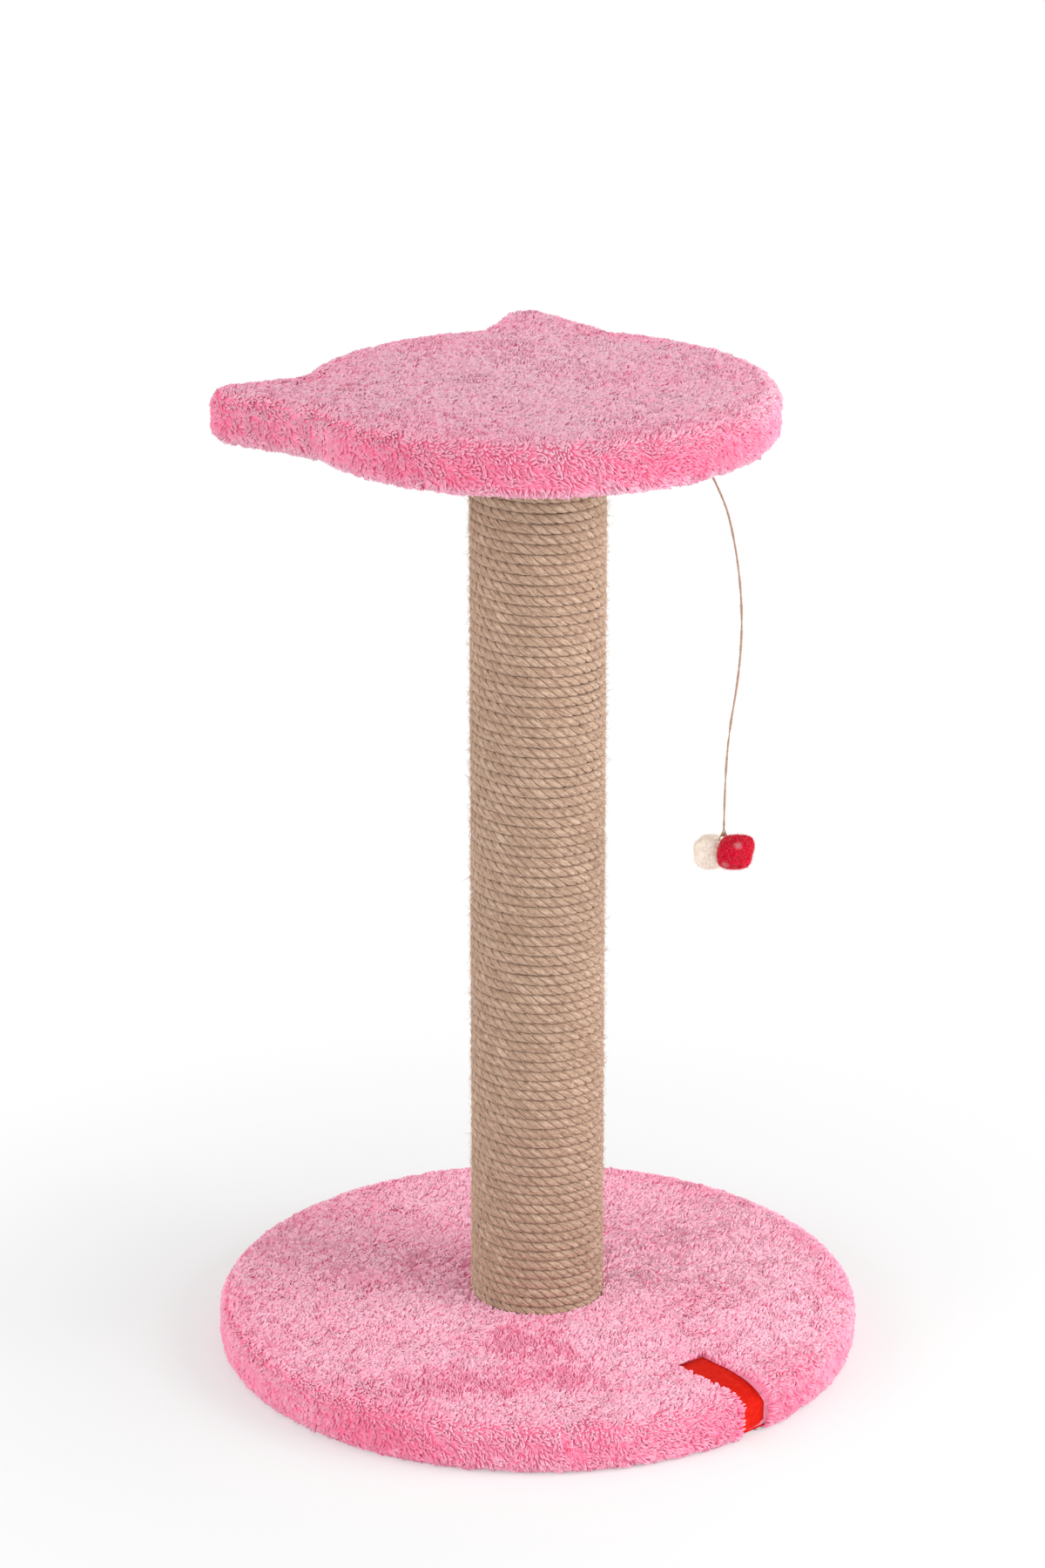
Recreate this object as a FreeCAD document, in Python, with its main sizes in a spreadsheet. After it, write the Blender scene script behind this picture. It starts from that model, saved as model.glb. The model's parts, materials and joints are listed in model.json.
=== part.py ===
import FreeCAD, Part
import math
import os

import Sketcher
from FreeCAD import Placement, Rotation, Vector

# A scratching post: a plush-covered round base, a rope-wound post, a plush platform
# with a cat-head outline, and a toy of two felt balls hanging under the platform.
# The origin is on the floor under the post. +Z is up, and +Y points between the ears.

doc = FreeCAD.newDocument("cat_scratcher")
sheet = doc.addObject("Spreadsheet::Sheet", "sizes")

# Driving sizes, in millimetres and degrees
SIZES = (
    ("board_thickness", 16.0),
    ("base_board_radius", 171.0),
    ("base_hem_width", 24.0),
    ("plush_thickness", 8.5),
    ("plush_round", 9.0),
    ("pressed_plush", 2.0),
    ("hem_thickness", 4.0),
    ("fabric_gap", 0.2),
    ("liner_thickness", 1.2),
    ("liner_gap", 0.5),
    ("head_radius", 120.7),
    ("head_hem_width", 14.0),
    ("ear_angle", 45.5),
    ("ear_reach", 38.6),
    ("ear_tip_radius", 6.6),
    ("ear_inner_angle", 20.0),
    ("ear_outer_angle", 37.0),
    ("ear_fillet", 26.4),
    ("label_angle", -96.0),
    ("label_width", 22.0),
    ("label_thickness", 0.8),
    ("label_depth", 4.8),
    ("label_round", 7.5),
    ("label_run", 54.0),
    ("label_foot", 3.0),
    ("label_gap", 0.3),
    ("post_tube_length", 510.0),
    ("post_tube_radius", 31.9),
    ("post_tube_wall", 4.0),
    ("post_opening_gap", 1.0),
    ("plug_length", 40.0),
    ("plug_gap", 0.15),
    ("insert_radius", 6.0),
    ("insert_length", 20.0),
    ("thread_radius", 4.0),
    ("thread_gap", 0.1),
    ("bolt_hole_gap", 0.3),
    ("bolt_length", 40.0),
    ("bolt_head_radius", 6.5),
    ("bolt_head_height", 5.0),
    ("bolt_socket_width", 5.0),
    ("bolt_socket_depth", 3.0),
    ("washer_radius", 9.0),
    ("washer_thickness", 1.6),
    ("counterbore_radius", 11.0),
    ("counterbore_depth", 9.0),
    ("tee_flange_radius", 11.0),
    ("tee_flange_thickness", 1.5),
    ("tee_barrel_radius", 5.2),
    ("tee_barrel_length", 9.0),
    ("stud_in_plug", 16.0),
    ("stud_in_board", 13.0),
    ("screw_radius", 1.75),
    ("screw_head_radius", 3.4),
    ("screw_head_height", 1.8),
    ("screw_length", 16.0),
    ("screw_sink", 0.5),
    ("screw_count", 4),
    ("rope_diameter", 5.15),
    ("rope_turn_gap", 0.5),
    ("rope_seat_gap", 0.15),
    ("rope_end_gap", 1.0),
    ("rope_lengths", 4),
    ("rope_end_angle", 90.0),
    ("rope_staple_wire", 0.4),
    ("rope_staple_width", 1.0),
    ("rope_staple_gap", 0.05),
    ("rope_staple_bite", 2.6),
    ("hem_staple_crown", 10.0),
    ("hem_staple_leg", 10.0),
    ("hem_staple_wire", 0.8),
    ("hem_staple_cover", 1.0),
    ("base_staple_count", 24),
    ("head_staple_count", 18),
    ("toy_inset", 20.7),
    ("toy_angle", -71.2),
    ("hook_wire", 1.2),
    ("hook_width", 10.0),
    ("hook_bend", 1.5),
    ("hook_drop", 4.2),
    ("hook_bite", 10.0),
    ("twine_diameter", 1.8),
    ("twine_gap", 0.4),
    ("loop_radius", 4.2),
    ("eye_radius", 2.4),
    ("knot_diameter", 5.2),
    ("knot_gap", 0.3),
    ("ball_diameter", 20.0),
    ("ball_gap", 0.5),
    ("ball_drop", 9.8),
    ("pair_angle", -99.3),
    ("pair_rise", 15.3),
    ("ball_strand_bite", 3.0),
)

# The twine's route, as steps from the middle of the hook: it bows out and comes back
TWINE_ROUTE = (
    (3.8, -4.3, -20.6),
    (7.2, -8.0, -35.9),
    (10.6, -11.7, -64.8),
    (11.8, -13.0, -93.8),
    (10.5, -11.6, -123.1),
    (7.4, -8.2, -152.6),
    (6.2, -6.9, -182.4),
)
KNOT_STEP = (6.1, -6.8, -210.8)

for row, (alias, number) in enumerate(SIZES, start=1):
    sheet.set("A%d" % row, alias)
    sheet.set("B%d" % row, str(number))
    sheet.setAlias("B%d" % row, alias)
doc.recompute()

# Levels and radii that several pieces share, as expressions
BASE_BOARD_TOP = "sizes.hem_thickness + sizes.board_thickness"
BASE_TOP = BASE_BOARD_TOP + " + sizes.plush_thickness"
BASE_OUTSIDE = "sizes.base_board_radius + sizes.plush_thickness"
POST_FOOT = BASE_BOARD_TOP + " + sizes.pressed_plush"
POST_HEAD = POST_FOOT + " + sizes.post_tube_length"
HEAD_HEM = POST_HEAD + " - sizes.hem_thickness"
HEAD_BOARD_TOP = POST_HEAD + " + sizes.board_thickness"
TUBE_BORE = "sizes.post_tube_radius - sizes.post_tube_wall"
ROPE_OUTSIDE = "sizes.post_tube_radius + sizes.rope_seat_gap + sizes.rope_diameter"
POST_OPENING = ROPE_OUTSIDE + " + sizes.post_opening_gap"
BASE_HEM_EDGE = "sizes.base_board_radius - sizes.base_hem_width"
HEAD_HEM_EDGE = "sizes.head_radius - sizes.head_hem_width"
EAR_TIP_DISTANCE = "sizes.head_radius + sizes.ear_reach"
THREAD_BORE = "sizes.thread_radius + sizes.thread_gap"
BOLT_HOLE = "sizes.thread_radius + sizes.bolt_hole_gap"
INSERT_HOLE = "sizes.insert_radius + sizes.thread_gap"
TEE_HOLE = "sizes.tee_barrel_radius + sizes.thread_gap"
TEE_SEAT = "sizes.tee_flange_radius + sizes.thread_gap"
BOLT_SEAT = "sizes.hem_thickness + sizes.counterbore_depth"
BED_DEPTH = "sizes.label_depth + sizes.label_thickness"

UP = Vector(0, 0, 1)


def size(alias):
    return float(sheet.get(alias))


# The same levels as numbers, for the pieces that are worked out point by point
post_foot = size("hem_thickness") + size("board_thickness") + size("pressed_plush")
post_head = post_foot + size("post_tube_length")


def cylinder(name, radius, height, level="0"):
    solid = doc.addObject("Part::Cylinder", name)
    solid.setExpression("Radius", radius)
    solid.setExpression("Height", height)
    solid.setExpression("Placement.Base.z", level)
    return solid


def fuse(name, *pieces):
    result = doc.addObject("Part::MultiFuse", name)
    result.Shapes = list(pieces)
    return result


def cut(name, base, *tools):
    result = doc.addObject("Part::Cut", name)
    result.Base = base
    result.Tool = tools[0] if len(tools) == 1 else fuse(name + "_room", *tools)
    return result


def common(name, first, second):
    result = doc.addObject("Part::Common", name)
    result.Base = first
    result.Tool = second
    return result


def shaped(name, shape):
    feature = doc.addObject("Part::Feature", name)
    feature.Shape = shape
    feature.Placement = Placement()
    return feature


def rounded_disc(name, radius, height, rounding, top_only=False):
    """A disc on the floor with its rim rounded."""
    disc = cylinder(name + "_disc", radius, height)
    doc.recompute()
    result = doc.addObject("Part::Fillet", name)
    result.Base = disc
    rims = []
    for number, edge in enumerate(disc.Shape.Edges, start=1):
        is_rim = isinstance(edge.Curve, Part.Circle)
        is_top = edge.CenterOfMass.z > disc.Height.Value / 2
        if is_rim and (is_top or not top_only):
            rims.append((number, rounding, rounding))
    result.Edges = rims
    return result


def polar(radius, degrees, level):
    angle = math.radians(degrees)
    return Vector(radius * math.cos(angle), radius * math.sin(angle), level)


def copies_round(solid, count):
    """Separate copies of a solid, evenly spaced round the Z axis."""
    turned = []
    for number in range(count):
        copy = solid.copy()
        copy.rotate(Vector(), UP, 360.0 * number / count)
        turned.append(copy)
    return turned


def pipe(path, diameter):
    """A round tube along a tangent path, compared with its section times its length."""
    start = path.Edges[0]
    heading = start.tangentAt(start.FirstParameter)
    section = Part.Wire(Part.makeCircle(diameter / 2, start.valueAt(start.FirstParameter), heading))
    shell = Part.BRepOffsetAPI.MakePipeShell(path)
    shell.add(section)
    shell.build()
    shell.makeSolid()
    tube = shell.shape()
    expected = math.pi * diameter ** 2 / 4 * path.Length
    if abs(tube.Volume / expected - 1) > 0.01:
        raise ValueError("a tube's volume is not its section times its length")
    return tube


# PartDesign helpers

def origin_plane(body, role):
    for feature in body.Origin.OriginFeatures:
        if feature.Role == role:
            return feature
    raise ValueError("the body has no " + role)


def level_sketch(body, name, level):
    sketch = body.newObject("Sketcher::SketchObject", name)
    sketch.AttachmentSupport = [(origin_plane(body, "XY_Plane"), "")]
    sketch.MapMode = "FlatFace"
    sketch.setExpression("AttachmentOffset.Base.z", level)
    return sketch


def bind(sketch, constraint, expression):
    number = sketch.addConstraint(constraint)
    sketch.setExpression("Constraints[%d]" % number, expression)


def circle_sketch(body, name, radius, level):
    sketch = level_sketch(body, name, level)
    sketch.addGeometry(Part.Circle(Vector(), UP, 1.0))
    sketch.addConstraint(Sketcher.Constraint("Coincident", 0, 3, -1, 1))
    bind(sketch, Sketcher.Constraint("Radius", 0, 1.0), radius)
    return sketch


def pad(body, sketch, length):
    feature = body.newObject("PartDesign::Pad", sketch.Name + "_pad")
    feature.Profile = sketch
    feature.setExpression("Length", length)
    doc.recompute()


def pocket(body, sketch, depth):
    """Cuts downwards from the sketch's level."""
    volume = body.Shape.Volume
    feature = body.newObject("PartDesign::Pocket", sketch.Name + "_pocket")
    feature.Profile = sketch
    feature.setExpression("Length", depth)
    doc.recompute()
    if body.Shape.Volume > volume - 1.0:
        raise ValueError(sketch.Name + " cuts nothing")


class EarEdge:
    """One straight edge of the right ear: where it meets the tip's arc and the head's fillet."""

    def __init__(self, head, tip, fillet, tip_centre, axis, outwards, angle):
        normal = outwards * math.cos(angle) + axis * math.sin(angle)
        along = axis * math.cos(angle) - outwards * math.sin(angle)
        self.tip_end = tip_centre + normal * tip
        reach = normal.dot(self.tip_end) + fillet
        run = math.sqrt((head + fillet) ** 2 - reach ** 2)
        self.fillet_centre = normal * reach + along * run
        self.base_end = self.fillet_centre - normal * fillet
        self.on_head = self.fillet_centre * (head / (head + fillet))

    def mirrored(self):
        twin = object.__new__(EarEdge)
        for name, point in vars(self).items():
            setattr(twin, name, Vector(-point.x, point.y, 0))
        return twin


def arc(centre, radius, start, end):
    """An anticlockwise arc from start to end."""
    first = math.atan2(start.y - centre.y, start.x - centre.x)
    last = math.atan2(end.y - centre.y, end.x - centre.x)
    if last < first:
        last += 2 * math.pi
    return Part.ArcOfCircle(Part.Circle(centre, UP, radius), first, last)


def head_sketch(body, name, growth, level):
    """The head's outline, a circle and two ears, moved outwards by the size named growth."""
    offset = size(growth) if growth else 0.0
    grown = " + sizes." + growth if growth else ""
    shrunk = " - sizes." + growth if growth else ""
    head = size("head_radius") + offset
    tip = size("ear_tip_radius") + offset
    fillet = size("ear_fillet") - offset
    ear = math.radians(size("ear_angle"))
    axis = Vector(math.sin(ear), math.cos(ear), 0)
    inwards = Vector(-math.cos(ear), math.sin(ear), 0)
    centre = axis * (size("head_radius") + size("ear_reach"))
    mirrored_centre = Vector(-centre.x, centre.y, 0)
    inner_angle = math.radians(size("ear_inner_angle"))
    outer_angle = math.radians(size("ear_outer_angle"))
    inner = EarEdge(head, tip, fillet, centre, axis, inwards, inner_angle)
    outer = EarEdge(head, tip, fillet, centre, axis, inwards * -1, outer_angle)
    left_inner = inner.mirrored()
    left_outer = outer.mirrored()

    # Each piece of the outline, anticlockwise, with the ends where it starts and stops
    outline = (
        (arc(Vector(), head, left_outer.on_head, outer.on_head), 1, 2),
        (arc(outer.fillet_centre, fillet, outer.base_end, outer.on_head), 2, 1),
        (Part.LineSegment(outer.base_end, outer.tip_end), 1, 2),
        (arc(centre, tip, outer.tip_end, inner.tip_end), 1, 2),
        (Part.LineSegment(inner.base_end, inner.tip_end), 2, 1),
        (arc(inner.fillet_centre, fillet, inner.on_head, inner.base_end), 2, 1),
        (arc(Vector(), head, inner.on_head, left_inner.on_head), 1, 2),
        (arc(left_inner.fillet_centre, fillet, left_inner.base_end, left_inner.on_head), 2, 1),
        (Part.LineSegment(left_inner.base_end, left_inner.tip_end), 1, 2),
        (arc(mirrored_centre, tip, left_inner.tip_end, left_outer.tip_end), 1, 2),
        (Part.LineSegment(left_outer.base_end, left_outer.tip_end), 2, 1),
        (arc(left_outer.fillet_centre, fillet, left_outer.on_head, left_outer.base_end), 2, 1),
    )
    chin, crown, right_tip, left_tip = 0, 6, 3, 9
    fillets = (1, 5, 7, 11)

    sketch = level_sketch(body, name, level)
    for piece, _, _ in outline:
        sketch.addGeometry(piece)
    for number, (_, _, stop) in enumerate(outline):
        following = (number + 1) % len(outline)
        joint = Sketcher.Constraint("Tangent", number, stop, following, outline[following][1])
        sketch.addConstraint(joint)
    for middle_arc in (chin, crown):
        sketch.addConstraint(Sketcher.Constraint("Coincident", middle_arc, 3, -1, 1))
    sketch.addConstraint(Sketcher.Constraint("Equal", chin, crown))
    sketch.addConstraint(Sketcher.Constraint("Equal", right_tip, left_tip))
    for other in fillets[1:]:
        sketch.addConstraint(Sketcher.Constraint("Equal", fillets[0], other))
    sketch.addConstraint(Sketcher.Constraint("Symmetric", right_tip, 3, left_tip, 3, -2))
    bind(sketch, Sketcher.Constraint("Radius", chin, head), "sizes.head_radius" + grown)
    bind(sketch, Sketcher.Constraint("Radius", right_tip, tip), "sizes.ear_tip_radius" + grown)
    bind(sketch, Sketcher.Constraint("Radius", fillets[0], fillet), "sizes.ear_fillet" + shrunk)
    across = "(%s) * sin(sizes.ear_angle * 1deg)" % EAR_TIP_DISTANCE
    ahead = "(%s) * cos(sizes.ear_angle * 1deg)" % EAR_TIP_DISTANCE
    bind(sketch, Sketcher.Constraint("DistanceX", -1, 1, right_tip, 3, centre.x), across)
    bind(sketch, Sketcher.Constraint("DistanceY", -1, 1, right_tip, 3, centre.y), ahead)
    edge_angles = (
        (2, "90 - sizes.ear_angle + sizes.ear_outer_angle"),
        (4, "90 - sizes.ear_angle - sizes.ear_inner_angle"),
        (8, "90 + sizes.ear_angle + sizes.ear_inner_angle"),
        (10, "90 + sizes.ear_angle - sizes.ear_outer_angle"),
    )
    for number, degrees in edge_angles:
        edge = outline[number][0]
        run = edge.EndPoint - edge.StartPoint
        angle = Sketcher.Constraint("Angle", number, math.atan2(run.y, run.x))
        bind(sketch, angle, "(%s) * 1deg" % degrees)
    return sketch


# Base

def make_base_board():
    disc = cylinder("base_board_disc", "sizes.base_board_radius", "sizes.board_thickness", "sizes.hem_thickness")
    hole = cylinder("base_board_hole", BOLT_HOLE, BASE_BOARD_TOP)
    counterbore = cylinder("base_board_counterbore", "sizes.counterbore_radius", BOLT_SEAT)
    cut("base_board", disc, hole, counterbore)


def label_strip(name, gap):
    """A block over the rim where the ribbon runs, wider and longer than the ribbon by gap."""
    strip = doc.addObject("Part::Box", name)
    strip.setExpression("Length", "sizes.label_run + %s" % gap)
    strip.setExpression("Width", "sizes.label_width + 2 * (%s)" % gap)
    strip.setExpression("Height", "%s - sizes.label_foot + 2 * (%s)" % (BASE_TOP, gap))
    start = "(%s - sizes.label_run)" % BASE_OUTSIDE
    half = "(sizes.label_width / 2 + %s)" % gap
    angle = "(sizes.label_angle * 1deg)"
    strip.setExpression("Placement.Base.x", "%s * cos(%s) + %s * sin(%s)" % (start, angle, half, angle))
    strip.setExpression("Placement.Base.y", "%s * sin(%s) - %s * cos(%s)" % (start, angle, half, angle))
    strip.setExpression("Placement.Base.z", "sizes.label_foot - (%s)" % gap)
    strip.setExpression("Placement.Rotation.Angle", "sizes.label_angle * 1deg")
    return strip


def make_base_cover_and_label():
    plush = rounded_disc("base_cover_block", BASE_OUTSIDE, BASE_TOP, size("plush_round"))
    board_room = cylinder("base_cover_board_room", "sizes.base_board_radius + sizes.fabric_gap",
                          "sizes.board_thickness", "sizes.hem_thickness")
    hem_opening = cylinder("base_cover_hem_opening", BASE_HEM_EDGE, "sizes.hem_thickness")
    post_seat = cylinder("base_cover_post_seat", POST_OPENING, "sizes.plush_thickness", POST_FOOT)
    bolt_hole = cylinder("base_cover_bolt_hole", BOLT_HOLE, POST_FOOT)
    rounding = size("label_round")
    bed = rounded_disc("label_bed", "%s - (%s)" % (BASE_OUTSIDE, BED_DEPTH), "%s - (%s)" % (BASE_TOP, BED_DEPTH),
                       rounding - size("label_thickness"), top_only=True)
    skin = rounded_disc("label_skin", BASE_OUTSIDE + " - sizes.label_depth", BASE_TOP + " - sizes.label_depth",
                        rounding, top_only=True)
    groove = cut("label_groove", label_strip("label_groove_strip", "sizes.label_gap"), bed)
    cut("base_cover", plush, board_room, hem_opening, post_seat, bolt_hole, groove)
    common("label_ribbon", label_strip("label_ribbon_strip", "0"), cut("label_layer", skin, bed))


def make_base_liner():
    disc = cylinder("base_liner_disc", BASE_HEM_EDGE + " - sizes.liner_gap", "sizes.liner_thickness",
                    "sizes.hem_thickness - sizes.liner_thickness")
    hole = cylinder("base_liner_hole", "sizes.counterbore_radius", "sizes.hem_thickness")
    cut("base_liner", disc, hole)


def hem_staple():
    """A flat-wire staple with its crown at the origin, across X, and its legs up."""
    crown = size("hem_staple_crown")
    wire = size("hem_staple_wire")
    height = size("hem_staple_leg") + wire
    outside = Part.makeBox(crown, wire, height, Vector(-crown / 2, -wire / 2, 0))
    inside = Part.makeBox(crown - 2 * wire, 2 * wire, height, Vector(wire - crown / 2, -wire, wire))
    return outside.cut(inside)


def make_hem_staples(name, radius, level, count):
    staple = hem_staple()
    staple.translate(Vector(0, -radius, level))
    shaped(name, Part.makeCompound(copies_round(staple, count)))


# Post

def make_post_tube():
    outside = cylinder("post_tube_outside", "sizes.post_tube_radius", "sizes.post_tube_length", POST_FOOT)
    bore = cylinder("post_tube_bore", TUBE_BORE, "sizes.post_tube_length", POST_FOOT)
    cut("post_tube", outside, bore)


def make_plug_and_insert(place, plug_level, insert_level):
    """A wooden plug in the tube's end, and the threaded insert in it."""
    plug_name = "post_%s_plug" % place
    plug = cylinder(plug_name + "_round", TUBE_BORE + " - sizes.plug_gap", "sizes.plug_length", plug_level)
    through = cylinder(plug_name + "_bore", BOLT_HOLE, "sizes.plug_length", plug_level)
    seat = cylinder(plug_name + "_seat", INSERT_HOLE, "sizes.insert_length", insert_level)
    cut(plug_name, plug, through, seat)
    insert_name = "post_%s_insert" % place
    sleeve = cylinder(insert_name + "_sleeve", "sizes.insert_radius", "sizes.insert_length", insert_level)
    thread = cylinder(insert_name + "_thread", THREAD_BORE, "sizes.insert_length", insert_level)
    cut(insert_name, sleeve, thread)


def make_plug_screws():
    """Countersunk screws through the tube into both plugs, their heads just under its surface."""
    head_height = size("screw_head_height")
    length = size("screw_length")
    head = Part.makeCone(size("screw_head_radius"), size("screw_radius"), head_height)
    shank = Part.makeCylinder(size("screw_radius"), length - head_height, Vector(0, 0, head_height))
    screw = head.fuse(shank).removeSplitter().Solids[0]
    screw.rotate(Vector(), Vector(0, 1, 0), -90)
    half_plug = size("plug_length") / 2
    screws = []
    for level in (post_foot + half_plug, post_head - half_plug):
        placed = screw.copy()
        placed.translate(Vector(size("post_tube_radius") - size("screw_sink"), 0, level))
        screws += copies_round(placed, int(size("screw_count")))
    shaped("plug_screws", Part.makeCompound(screws))


def make_base_bolt():
    """A socket-head bolt from below, through the washer and the board into the foot insert."""
    under_head = "%s - sizes.washer_thickness" % BOLT_SEAT
    head_level = "%s - sizes.bolt_head_height" % under_head
    head = cylinder("base_bolt_head", "sizes.bolt_head_radius", "sizes.bolt_head_height", head_level)
    shank = cylinder("base_bolt_shank", "sizes.thread_radius", "sizes.bolt_length", under_head)
    socket = doc.addObject("Part::Prism", "base_bolt_socket")
    socket.Polygon = 6
    socket.setExpression("Circumradius", "sizes.bolt_socket_width / sqrt(3)")
    socket.setExpression("Height", "sizes.bolt_socket_depth")
    socket.setExpression("Placement.Base.z", head_level)
    cut("base_bolt", fuse("base_bolt_blank", head, shank), socket)
    disc = cylinder("base_washer_disc", "sizes.washer_radius", "sizes.washer_thickness", under_head)
    hole = cylinder("base_washer_hole", BOLT_HOLE, "sizes.washer_thickness", under_head)
    cut("base_washer", disc, hole)


# Rope

def bend(start, corner, end):
    """The arc from start to end whose end tangents meet at corner."""
    middle = (start + end) * 0.5
    chord = (end - start).normalize()
    half_turn = chord.getAngle((corner - start).normalize())
    share = math.tan(half_turn / 2) / math.tan(half_turn)
    return Part.Arc(start, middle + (corner - middle) * share, end).toShape()


def biarc(start, start_heading, end, end_heading):
    """Two tangent arcs of equal end lengths between two points and their headings."""
    span = end - start
    headings = start_heading + end_heading
    square = 2 * (1 - start_heading.dot(end_heading))
    linear = 2 * span.dot(headings)
    length = (math.sqrt(linear ** 2 + 4 * square * span.dot(span)) - linear) / (2 * square)
    first_corner = start + start_heading * length
    second_corner = end - end_heading * length
    joint = (first_corner + second_corner) * 0.5
    return [bend(start, first_corner, joint), bend(joint, second_corner, end)]


class Winding:
    """One length of rope, which climbs the tube in half turns."""

    def __init__(self):
        self.diameter = size("rope_diameter")
        self.radius = size("post_tube_radius") + size("rope_seat_gap") + self.diameter / 2
        self.count = int(size("rope_lengths"))
        climb = size("post_tube_length") - 2 * size("rope_end_gap") - self.diameter
        steps = math.floor(2 * climb / (self.diameter + size("rope_turn_gap")))
        self.half_turns = steps // self.count
        self.half_pitch = climb / (self.half_turns * self.count)
        self.height = self.half_pitch * self.half_turns

    def point(self, half_turn):
        """A point of the helix, which climbs clockwise seen from above."""
        return polar(self.radius, size("rope_end_angle") - 180 * half_turn, self.half_pitch * half_turn)

    def heading(self, half_turn):
        level = polar(1.0, size("rope_end_angle") - 180 * half_turn - 90, 0)
        return (level * self.radius * math.pi + UP * self.half_pitch).normalize()

    def path(self):
        edges = []
        for number in range(self.half_turns):
            following = number + 1
            edges += biarc(self.point(number), self.heading(number), self.point(following), self.heading(following))
        return Part.Wire(edges)

    def least_gap(self, path):
        """The least room between neighbouring turns, measured on points along the path."""
        spacing = 2.0
        points = path.discretize(Distance=spacing)
        turn = 2 * math.pi * self.radius / spacing
        nearest = math.inf
        for number, here in enumerate(points):
            first = number + round(0.7 * turn)
            for there in points[first:first + round(0.6 * turn)]:
                nearest = min(nearest, here.distanceToPoint(there))
        return nearest - self.diameter


def make_rope():
    winding = Winding()
    path = winding.path()
    tube = pipe(path, winding.diameter)
    print("rope: %d lengths of %.1f turns, least gap %.2f mm"
          % (winding.count, winding.half_turns / 2, winding.least_gap(path)))
    first_level = post_foot + size("rope_end_gap") + winding.diameter / 2
    for number in range(winding.count):
        length = shaped("rope_winding_%d" % (number + 1), tube)
        lift = UP * (first_level + number * winding.height)
        length.Placement = Placement(lift, Rotation(UP, -180 * winding.half_turns * number))
    make_rope_staples(winding, first_level)


def make_rope_staples(winding, first_level):
    """A fine staple over each free end of the rope, its legs in the tube's wall."""
    wire = size("rope_staple_wire")
    width = size("rope_staple_width")
    half_span = winding.diameter / 2 + size("rope_staple_gap")
    run = winding.diameter / 2
    crown_reach = winding.radius + half_span
    depth = crown_reach + wire - size("post_tube_radius") + size("rope_staple_bite")
    height = 2 * (half_span + wire)
    outside = Part.makeBox(depth, width, height, Vector(crown_reach + wire - depth, -width / 2, -height / 2))
    inside = Part.makeBox(depth, 2 * width, 2 * half_span, Vector(crown_reach - depth, -width, -half_span))
    staple = outside.cut(inside)
    lean = math.degrees(run / winding.radius)
    rise = winding.half_pitch * lean / 180
    last_level = first_level + winding.count * winding.height
    last_angle = size("rope_end_angle") - 180 * winding.half_turns * winding.count
    staples = []
    for angle, level in ((size("rope_end_angle") - lean, first_level + rise), (last_angle + lean, last_level - rise)):
        placed = staple.copy()
        placed.rotate(Vector(), UP, angle)
        placed.translate(UP * level)
        staples.append(placed)
    shaped("rope_end_staples", Part.makeCompound(staples))


# Platform

def make_platform_board():
    body = doc.addObject("PartDesign::Body", "platform_board")
    pad(body, head_sketch(body, "platform_board_outline", None, POST_HEAD), "sizes.board_thickness")
    pocket(body, circle_sketch(body, "tee_nut_hole", TEE_HOLE, HEAD_BOARD_TOP), "sizes.board_thickness")
    pocket(body, circle_sketch(body, "tee_nut_seat", TEE_SEAT, HEAD_BOARD_TOP), "sizes.tee_flange_thickness")


def make_platform_cover():
    body = doc.addObject("PartDesign::Body", "platform_cover")
    thickness = "sizes.hem_thickness + sizes.board_thickness + sizes.plush_thickness"
    pad(body, head_sketch(body, "platform_cover_outline", "plush_thickness", HEAD_HEM), thickness)
    block = body.Tip
    rims = []
    for number, edge in enumerate(block.Shape.Edges, start=1):
        if edge.BoundBox.ZLength < size("plush_thickness"):
            rims.append("Edge%d" % number)
    rounding = body.newObject("PartDesign::Fillet", "platform_cover_round")
    rounding.Base = (block, rims)
    rounding.setExpression("Radius", "sizes.plush_round")
    doc.recompute()
    pocket(body, head_sketch(body, "platform_cover_board_room", "fabric_gap", HEAD_BOARD_TOP),
           "sizes.board_thickness")
    pocket(body, circle_sketch(body, "platform_cover_hem_opening", HEAD_HEM_EDGE, POST_HEAD), "sizes.hem_thickness")


def make_platform_liner():
    level = POST_HEAD + " - sizes.liner_thickness"
    disc = cylinder("platform_liner_disc", HEAD_HEM_EDGE + " - sizes.liner_gap", "sizes.liner_thickness", level)
    hole = cylinder("platform_liner_hole", POST_OPENING, "sizes.liner_thickness", level)
    cut("platform_liner", disc, hole)


def make_tee_nut_and_stud():
    flange_level = HEAD_BOARD_TOP + " - sizes.tee_flange_thickness"
    barrel_level = flange_level + " - sizes.tee_barrel_length"
    flange = cylinder("tee_nut_flange", "sizes.tee_flange_radius", "sizes.tee_flange_thickness", flange_level)
    barrel = cylinder("tee_nut_barrel", "sizes.tee_barrel_radius", "sizes.tee_barrel_length", barrel_level)
    thread = cylinder("tee_nut_thread", THREAD_BORE, "sizes.tee_barrel_length + sizes.tee_flange_thickness",
                      barrel_level)
    cut("platform_tee_nut", fuse("tee_nut_blank", flange, barrel), thread)
    cylinder("platform_stud", "sizes.thread_radius", "sizes.stud_in_plug + sizes.stud_in_board",
             POST_HEAD + " - sizes.stud_in_plug")


# Toy

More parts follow.
